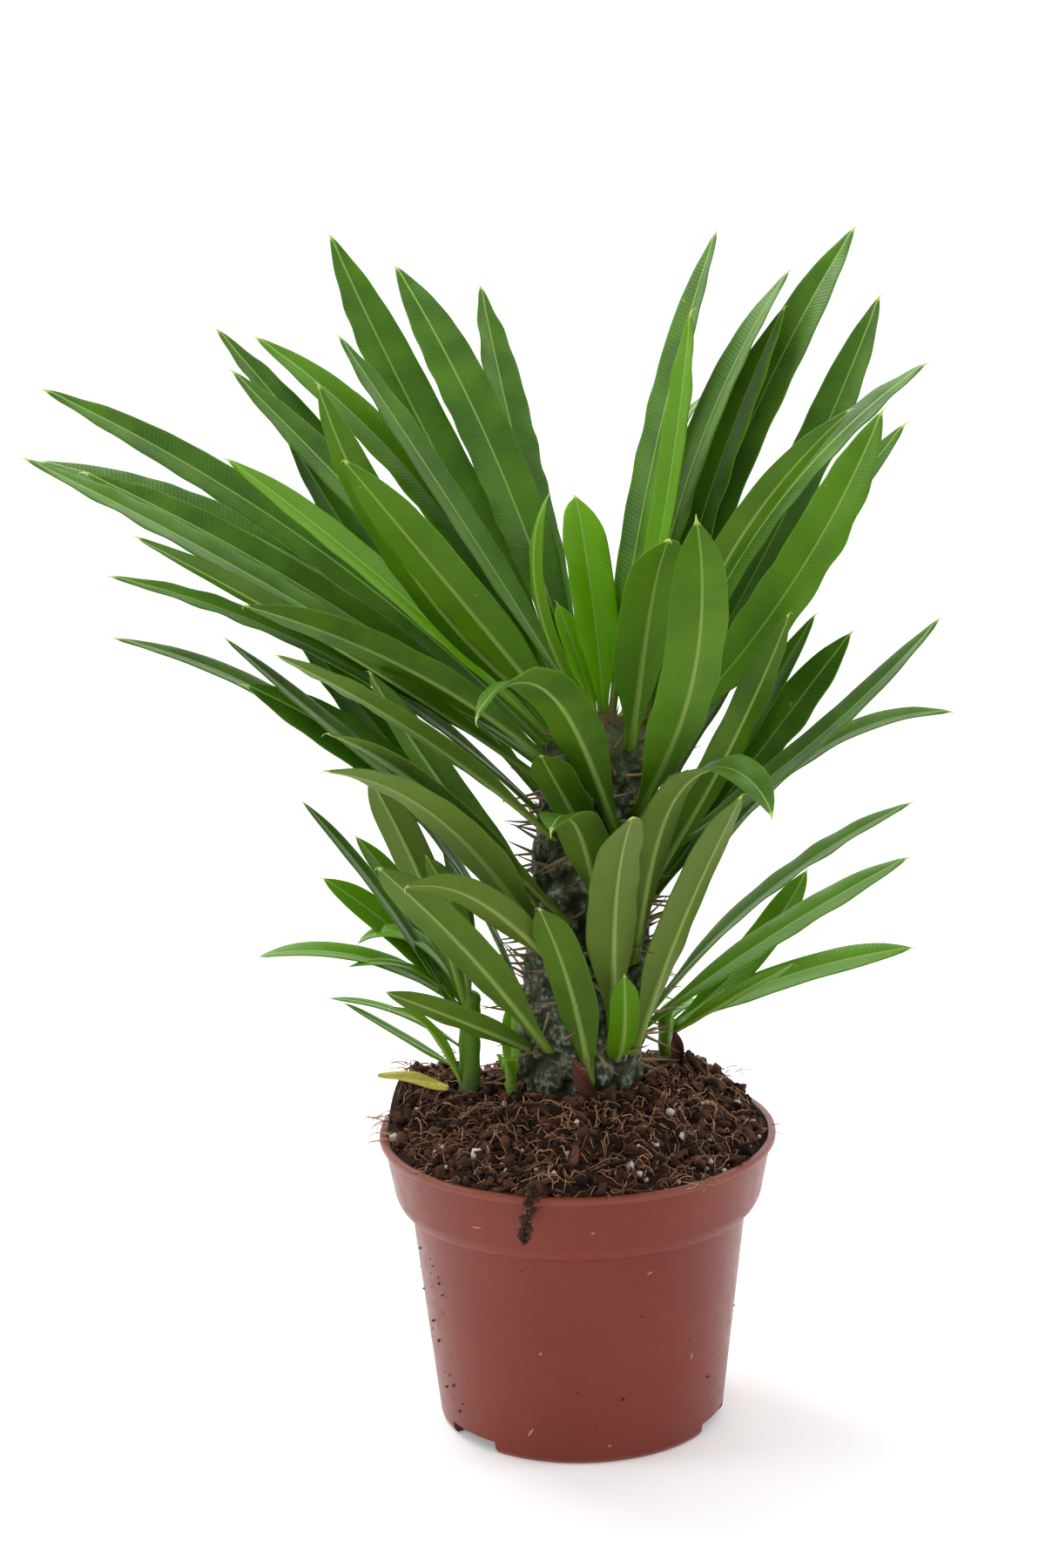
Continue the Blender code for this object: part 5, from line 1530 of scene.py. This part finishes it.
def husk_leaf(path, wide, curl, twist=0.0, rows=18, facing=(0.0, -1.0, 0.15)):
    """A withered leaf, rolled in along its length, as a thin shell."""
    path = np.array(path, float)
    share = np.linspace(0, 1, rows)
    knots = np.linspace(0, 1, len(path))
    line = np.stack([np.interp(share, knots, path[:, k]) for k in range(3)], -1)
    for _ in range(3):
        line[1:-1] = (line[:-2] + 2 * line[1:-1] + line[2:]) / 4
    ahead = np.gradient(line, axis=0)
    ahead /= np.linalg.norm(ahead, axis=1)[:, None]
    side = np.cross(ahead, facing)
    side /= np.linalg.norm(side, axis=1)[:, None]
    over = np.cross(side, ahead)
    cols = 9
    c = np.linspace(-1, 1, cols)
    half = wide / 2 * np.sin(math.pi * np.clip(share * 0.86 + 0.12, 0, 1)) ** 0.7
    verts = []
    for skin in (0.16, -0.16):
        for i in range(rows):
            roll = twist * share[i]
            a, b = side[i], over[i]
            u = a * math.cos(roll) + b * math.sin(roll)
            v = b * math.cos(roll) - a * math.sin(roll)
            bend = curl * (0.6 + 0.4 * math.sin(5 * share[i]))
            x = half[i] * np.sin(c * bend) / max(bend, 0.1)
            y = half[i] * (1 - np.cos(c * bend)) / max(bend, 0.1)
            y = y + 0.25 * np.sin(9 * share[i] + 4 * c)
            verts.append(line[i] + np.outer(x, u) + np.outer(y + skin, v))
    n = rows * cols
    faces = grid_faces(rows, cols, flip=True) + grid_faces(rows, cols, start=n)
    for i in range(rows - 1):
        a, b = i * cols, (i + 1) * cols
        faces.append((a, n + a, n + b, b))
        a, b = a + cols - 1, b + cols - 1
        faces.append((a, b, n + b, n + a))
    for j in range(cols - 1):
        faces.append((j, j + 1, n + j + 1, n + j))
        e = (rows - 1) * cols + j
        faces.append((e, n + e, n + e + 1, e + 1))
    tone = np.tile(np.repeat(share, cols), 2)
    return np.concatenate(verts), faces, tone


def husks_piece():
    """Brown withered leaves at the trunk's foot and round the right shoot's base."""
    shape = Shape()
    for path, wide, curl, twist, low, high in (
        ([(5.0, -9.0, 102.0), (3.5, -9.5, 106.0), (1.5, -10.0, 111.0), (-1.0, -9.5, 116.5)],
         6.0, 1.1, 0.5, 0.15, 0.95),
        ([(6.0, -9.5, 101.5), (9.0, -10.0, 103.5), (11.0, -9.0, 107.0)], 5.0, 1.5, -0.4, 0.0, 0.4),
        ([(-6.0, -17.0, 100.5), (-11.0, -15.0, 103.5), (-15.0, -13.0, 102.5), (-20.0, -12.0, 100.0)],
         5.5, 1.9, 0.3, 0.35, 0.8),
        ([(30.5, 25.5, 95.0), (31.0, 25.0, 101.0), (31.5, 25.5, 107.0), (30.5, 26.5, 112.0)],
         5.5, 1.8, 0.2, 0.0, 0.6),
        ([(33.5, 27.0, 95.0), (34.5, 26.5, 101.0), (34.8, 27.0, 106.0)], 5.0, 1.6, -0.3, 0.0, 0.2),
        ([(26.5, 24.5, 96.0), (26.0, 24.0, 100.0), (26.5, 24.5, 104.0)], 4.5, 1.6, 0.3, 0.0, 0.3),
    ):
        verts, faces, tone = husk_leaf(path, wide, curl, twist)
        shape.add(verts, faces, tone=low + (high - low) * tone)
    return shape


SOIL = soil_finish()
CRUMBS = crumb_finish("soil_crumbs", CRUMB_DARK, CRUMB_LIGHT)
FIBRES = crumb_finish("coir_fibres", FIBRE_DARK, FIBRE_LIGHT, 0.75, 0.3)
PERLITE = crumb_finish("perlite", PERLITE_GREY, PERLITE_WHITE, 0.9, 0.2)
CHIPS = crumb_finish("bark_chips", BARK_CHIP_DARK, BARK_CHIP_LIGHT, 0.8, 0.3)
HUSKS = crumb_finish("withered_leaf", HUSK_DARK, HUSK_LIGHT, 0.6, 0.4)

soil_piece().build("soil_mound", SOIL, "soil", ["soil"])
crumbs_piece().build("soil_crumbs", CRUMBS, "soil")
fibres_piece().build("soil_fibres", FIBRES, "soil")
perlite_piece().build("soil_perlite", PERLITE, "soil")
chips_piece().build("soil_bark_chips", CHIPS, "soil")
clump_piece().build("soil_root_clump", CHIPS, "soil")
husks_piece().build("withered_leaves", HUSKS, "soil")


# ---------------------------------------------------------------- pot and fallen leaf

RIM_R = 60.0
POT_H = 90.7
LIP_H = 2.0
COLLAR_TOP_R = 58.6
COLLAR_LOW_R = 55.6
COLLAR_FOOT_R = 53.6
COLLAR_FOOT_Z = 68.6
BODY_TOP_R = 50.9
BODY_FOOT_R = 43.2
WALL = 1.3
FLOOR = 1.6
NOTCH_SIDES = (-20.5, 99.5, 219.5)
NOTCH_WIDE = 20.0
NOTCH_HIGH = 4.0
NOTCH_DEEP = 9.0
POT_AROUND = 180

POT_RED = srgb(122, 46, 28)
POT_DEEP = srgb(116, 42, 25)
POT_DUSTY = srgb(150, 84, 64)
POT_MARK = srgb(190, 136, 116)
FALLEN_LOW = srgb(150, 140, 40)
FALLEN_HIGH = srgb(214, 206, 92)


def pot_finish():
    """Satin moulded plastic: faint flow clouds, rubbed edges, dust, and a few small marks."""
    made, tree, shader = new_material("terracotta_plastic", 0.42, 0.32)
    spot = places(tree)
    cloud = noise_of(tree, spot, 26.0, 4.0, 0.6)
    body = blended(tree, smooth(tree, cloud, 0.35, 0.7), POT_DEEP, POT_RED)
    dust = noise_of(tree, spot, 210.0, 6.0, 0.72)
    body = blended(tree, smooth(tree, dust, 0.58, 0.76, 0.0, 0.22), body, POT_DUSTY)
    body = blended(tree, attribute(tree, "worn"), body, POT_DUSTY)
    parts = put(tree, "ShaderNodeSeparateXYZ", {"Vector": spot})
    x, y, z = parts.outputs[0], parts.outputs[1], parts.outputs[2]
    front = smooth(tree, y, 0.0, -0.01)
    for mark_x, mark_z, half_long, half_wide, lean in POT_MARKS:
        along = maths(tree, "ADD",
                      maths(tree, "MULTIPLY", maths(tree, "SUBTRACT", x, mark_x * MM),
                            math.cos(lean)),
                      maths(tree, "MULTIPLY", maths(tree, "SUBTRACT", z, mark_z * MM),
                            math.sin(lean)))
        aside = maths(tree, "SUBTRACT",
                      maths(tree, "MULTIPLY", maths(tree, "SUBTRACT", z, mark_z * MM),
                            math.cos(lean)),
                      maths(tree, "MULTIPLY", maths(tree, "SUBTRACT", x, mark_x * MM),
                            math.sin(lean)))
        a = maths(tree, "POWER", maths(tree, "DIVIDE", along, half_long * MM), 2.0)
        b = maths(tree, "POWER", maths(tree, "DIVIDE", aside, half_wide * MM), 2.0)
        mask = maths(tree, "MULTIPLY", smooth(tree, maths(tree, "ADD", a, b), 1.2, 0.5, 0.0, 0.8),
                     front)
        body = blended(tree, mask, body, POT_MARK)
    tree.links.new(body, shader.inputs["Base Color"])
    rough = smooth(tree, dust, 0.3, 0.75, 0.30, 0.44)
    tree.links.new(rough, shader.inputs["Roughness"])
    fine = noise_of(tree, spot, 900.0, 3.0, 0.6)
    bumped(tree, shader, fine, 0.12, 0.00010)
    return made


# Small rubbed marks of the front: across, height, half length, half width, lean.
POT_MARKS = (
    (-15.5, 10.0, 1.7, 0.35, 1.05), (-12.0, 37.0, 0.5, 0.4, 0.0), (8.0, 6.0, 0.5, 0.4, 0.0),
    (20.5, 62.0, 0.9, 0.3, 0.4), (4.0, 79.0, 0.6, 0.35, 0.2), (-30.0, 78.0, 1.4, 0.25, 0.1),
    (33.0, 30.0, 1.1, 0.22, 1.3),
)


def softened(profile, reach):
    """The profile with each corner rounded a little."""
    profile = [np.array(p, float) for p in profile]
    made = [profile[0]]
    for before, corner, after in zip(profile, profile[1:], profile[2:]):
        to_before, to_after = before - corner, after - corner
        a, b = np.linalg.norm(to_before), np.linalg.norm(to_after)
        start = corner + to_before / a * min(reach, a * 0.42)
        end = corner + to_after / b * min(reach, b * 0.42)
        for s in (0.0, 0.33, 0.67, 1.0):
            made.append((1 - s) ** 2 * start + 2 * s * (1 - s) * corner + s * s * end)
    made.append(profile[-1])
    return made


def pot_piece():
    inner = BODY_TOP_R - WALL
    profile = softened(
        (
            (0.0, FLOOR),
            (BODY_FOOT_R - WALL - 1.5, FLOOR),
            (BODY_FOOT_R - WALL + 0.2, FLOOR + 2.0),
            (inner, COLLAR_FOOT_Z - 1.0),
            (COLLAR_FOOT_R - WALL - 0.6, COLLAR_FOOT_Z + 1.0),
            (COLLAR_LOW_R - WALL, COLLAR_FOOT_Z + 4.5),
            (COLLAR_TOP_R - WALL, POT_H - LIP_H - 0.3),
            (COLLAR_TOP_R - WALL + 0.3, POT_H),
            (RIM_R, POT_H),
            (RIM_R, POT_H - LIP_H + 0.1),
            (COLLAR_TOP_R, POT_H - LIP_H - 0.2),
            (COLLAR_LOW_R, COLLAR_FOOT_Z + 4.0),
            (COLLAR_FOOT_R + 0.9, COLLAR_FOOT_Z + 1.4),
            (COLLAR_FOOT_R - 0.8, COLLAR_FOOT_Z),
            (BODY_TOP_R, COLLAR_FOOT_Z - 0.6),
            (BODY_FOOT_R + 0.2, 1.6),
            (BODY_FOOT_R - 1.0, 0.0),
            (0.0, 0.0),
        ),
        0.55,
    )
    rings = profile[1:-1]
    points, worn = [], []
    for r, z in rings:
        for j in range(POT_AROUND):
            turn = 2 * math.pi * j / POT_AROUND
            out = r + 0.10 * noise.noise(Vector((math.cos(turn) * 2, math.sin(turn) * 2, z / 30)))
            out = min(out, RIM_R)
            points.append((out * math.cos(turn), out * math.sin(turn), z))
            edge = r > RIM_R - 0.6 or (z < 1.2 and r > BODY_FOOT_R - 1.5)
            worn.append(0.35 if edge else 0.0)
    faces = grid_faces(len(rings), POT_AROUND, flip=True, around=True)
    points += [(0.0, 0.0, FLOOR), (0.0, 0.0, 0.0)]
    worn += [0.0, 0.0]
    low, last = len(points) - 2, (len(rings) - 1) * POT_AROUND
    for j in range(POT_AROUND):
        k = (j + 1) % POT_AROUND
        faces.append((low, j, k))
        faces.append((low + 1, last + k, last + j))
    shape = Shape()
    shape.add(np.array(points), faces, worn=np.array(worn))
    pot = shape.build("pot_shell", pot_finish(), "pot_plastic", ["pot"])
    boxes = bmesh.new()
    for side in NOTCH_SIDES:
        turn = math.radians(side)
        out = (BODY_FOOT_R + 2.0 - NOTCH_DEEP / 2) * MM
        made = bmesh.ops.create_cube(boxes, size=1.0)
        bmesh.ops.scale(
            boxes, vec=(NOTCH_DEEP * MM, NOTCH_WIDE * MM, (NOTCH_HIGH + 2.0) * MM),
            verts=made["verts"],
        )
        bmesh.ops.transform(
            boxes,
            matrix=Matrix.Translation(
                (out * math.cos(turn), out * math.sin(turn), (NOTCH_HIGH / 2 - 1.0) * MM)
            ) @ Matrix.Rotation(turn, 4, "Z"),
            verts=made["verts"],
        )
    cutter_mesh = bpy.data.meshes.new("notches")
    boxes.to_mesh(cutter_mesh)
    boxes.free()
    cutter = bpy.data.objects.new("notches", cutter_mesh)
    bpy.context.scene.collection.objects.link(cutter)
    cut = pot.modifiers.new("notch", "BOOLEAN")
    cut.operation, cut.object, cut.solver = "DIFFERENCE", cutter, "EXACT"
    bpy.context.view_layer.update()
    finished = bpy.data.meshes.new_from_object(
        pot.evaluated_get(bpy.context.evaluated_depsgraph_get())
    )
    pot.modifiers.clear()
    pot.data = finished
    bpy.data.objects.remove(cutter)
    finished.shade_smooth()
    finished.set_sharp_from_angle(angle=math.radians(42))
    return pot


def wall_grains():
    """Crumbs of peat and grains of dust that stick to the pot's wall, most at the left."""
    chance = random.Random(77)
    shape = Shape()
    for k in range(46):
        if k < 26:
            turn, z = math.radians(chance.uniform(188, 218)), chance.uniform(8, 66)
        else:
            turn, z = chance.uniform(0, 6.28), chance.uniform(4, 66)
        r = BODY_FOOT_R + 0.2 + (BODY_TOP_R - BODY_FOOT_R - 0.2) * (z - 1.6) / (COLLAR_FOOT_Z - 2.2)
        size = 0.18 + 0.35 * chance.random() ** 2
        points, faces = grain_mesh(chance, size, (1.2, 1.0, 0.8), 0.35)
        spot = np.array([(r + size * 0.2) * math.cos(turn), (r + size * 0.2) * math.sin(turn), z])
        shape.add(points + spot, faces, tone=chance.random())
    return shape


def fallen_piece():
    line = []
    for (x, y), lift in zip(FALLEN, FALLEN_LIFT):
        line.append((x, y, float(soil_height(x, y)) + lift))
    shape = Shape()
    verts, faces, tone = husk_leaf(
        line, FALLEN_WIDE * 0.9, 0.55, 0.1, rows=30, facing=(0.0, -0.5, 1.0)
    )
    shape.add(verts, faces, tone=1.0 - 0.6 * tone)
    return shape


pot_piece()
wall_grains().build("pot_wall_grains", CRUMBS, "soil")
FALLEN_FINISH = crumb_finish("yellowed_leaf", FALLEN_LOW, FALLEN_HIGH, 0.5, 0.4)
fallen_piece().build("fallen_leaf_blade", FALLEN_FINISH, "dry_leaf", ["fallen_leaf"])


# ---------------------------------------------------------------- floor, light and camera


def stand_in(node, color, roughness):
    made, tree, shader = new_material("rough_" + node, roughness)
    shader.inputs["Base Color"].default_value = (*color, 1.0)
    frame["nodes"][node].data.materials.clear()
    frame["nodes"][node].data.materials.append(made)


def stage_floor():
    mesh = bpy.data.meshes.new("floor")
    mesh.from_pydata([(-6, -3, 0), (6, -3, 0), (6, 9, 0), (-6, 9, 0)], [], [(0, 1, 2, 3)])
    floor = bpy.data.objects.new("floor", mesh)
    bpy.context.scene.collection.objects.link(floor)
    made, tree, shader = new_material("floor_white", 0.9, 0.1)
    shader.inputs["Base Color"].default_value = (0.9, 0.9, 0.9, 1.0)
    shader.inputs["Emission Color"].default_value = (1.0, 1.0, 1.0, 1.0)
    shader.inputs["Emission Strength"].default_value = 0.20
    mesh.materials.append(made)


def stage_backdrop():
    """A bright white wall far behind the plant."""
    mesh = bpy.data.meshes.new("backdrop")
    mesh.from_pydata([(-5, 3.5, -0.5), (5, 3.5, -0.5), (5, 3.5, 5), (-5, 3.5, 5)], [], [(0, 1, 2, 3)])
    wall = bpy.data.objects.new("backdrop", mesh)
    bpy.context.scene.collection.objects.link(wall)
    made, tree, shader = new_material("backdrop_white", 0.9, 0.1)
    shader.inputs["Base Color"].default_value = (0.9, 0.9, 0.9, 1.0)
    shader.inputs["Emission Color"].default_value = (1.0, 1.0, 1.0, 1.0)
    shader.inputs["Emission Strength"].default_value = 1.0
    mesh.materials.append(made)


def soft_light(name, place, aim, wide, high, power):
    data = bpy.data.lights.new(name, "AREA")
    data.shape = "RECTANGLE"
    data.size, data.size_y = wide, high
    data.energy = power
    obj = bpy.data.objects.new(name, data)
    bpy.context.scene.collection.objects.link(obj)
    obj.location = place
    way = Vector(aim) - Vector(place)
    obj.rotation_euler = way.to_track_quat("-Z", "Y").to_euler()
    return obj


stage_floor()
stage_backdrop()
soft_light("light_left", (-0.95, -0.15, 0.75), (0.0, 0.0, 0.2), 0.4, 1.1, 4.0)
soft_light("light_right", (0.95, -0.1, 0.7), (0.0, 0.0, 0.2), 0.35, 1.1, 3.2)
soft_light("light_top", (-0.45, 0.45, 1.25), (0.0, 0.0, 0.15), 0.6, 0.6, 8.5)

world = bpy.data.worlds.new("white_room")
bpy.context.scene.world = world
world.use_nodes = True
world.node_tree.nodes["Background"].inputs["Color"].default_value = (1, 1, 1, 1)
world.node_tree.nodes["Background"].inputs["Strength"].default_value = 0.62

YAW, PITCH, ROLL = math.radians(-0.743), math.radians(14.974), math.radians(-1.166)
look = Vector(
    (math.sin(YAW) * math.cos(PITCH), math.cos(YAW) * math.cos(PITCH), -math.sin(PITCH))
)
level = Vector((math.cos(YAW), -math.sin(YAW), 0.0))
upright = level.cross(look)
across_view = level * math.cos(ROLL) + upright * math.sin(ROLL)
up_view = upright * math.cos(ROLL) - level * math.sin(ROLL)
lens = bpy.data.cameras.new("view")
lens.sensor_fit = "VERTICAL"
lens.sensor_height = 36.0
lens.sensor_width = 24.0
lens.lens = 90.0
lens.clip_start = 0.05
camera = bpy.data.objects.new("view", lens)
bpy.context.scene.collection.objects.link(camera)
turn = Matrix((across_view, up_view, -look)).transposed().to_4x4()
camera.matrix_world = Matrix.Translation((0.0, -1.12035, 0.49868)) @ turn
bpy.context.scene.camera = camera
bpy.context.scene.view_settings.view_transform = "Standard"
bpy.context.scene.view_settings.look = "None"
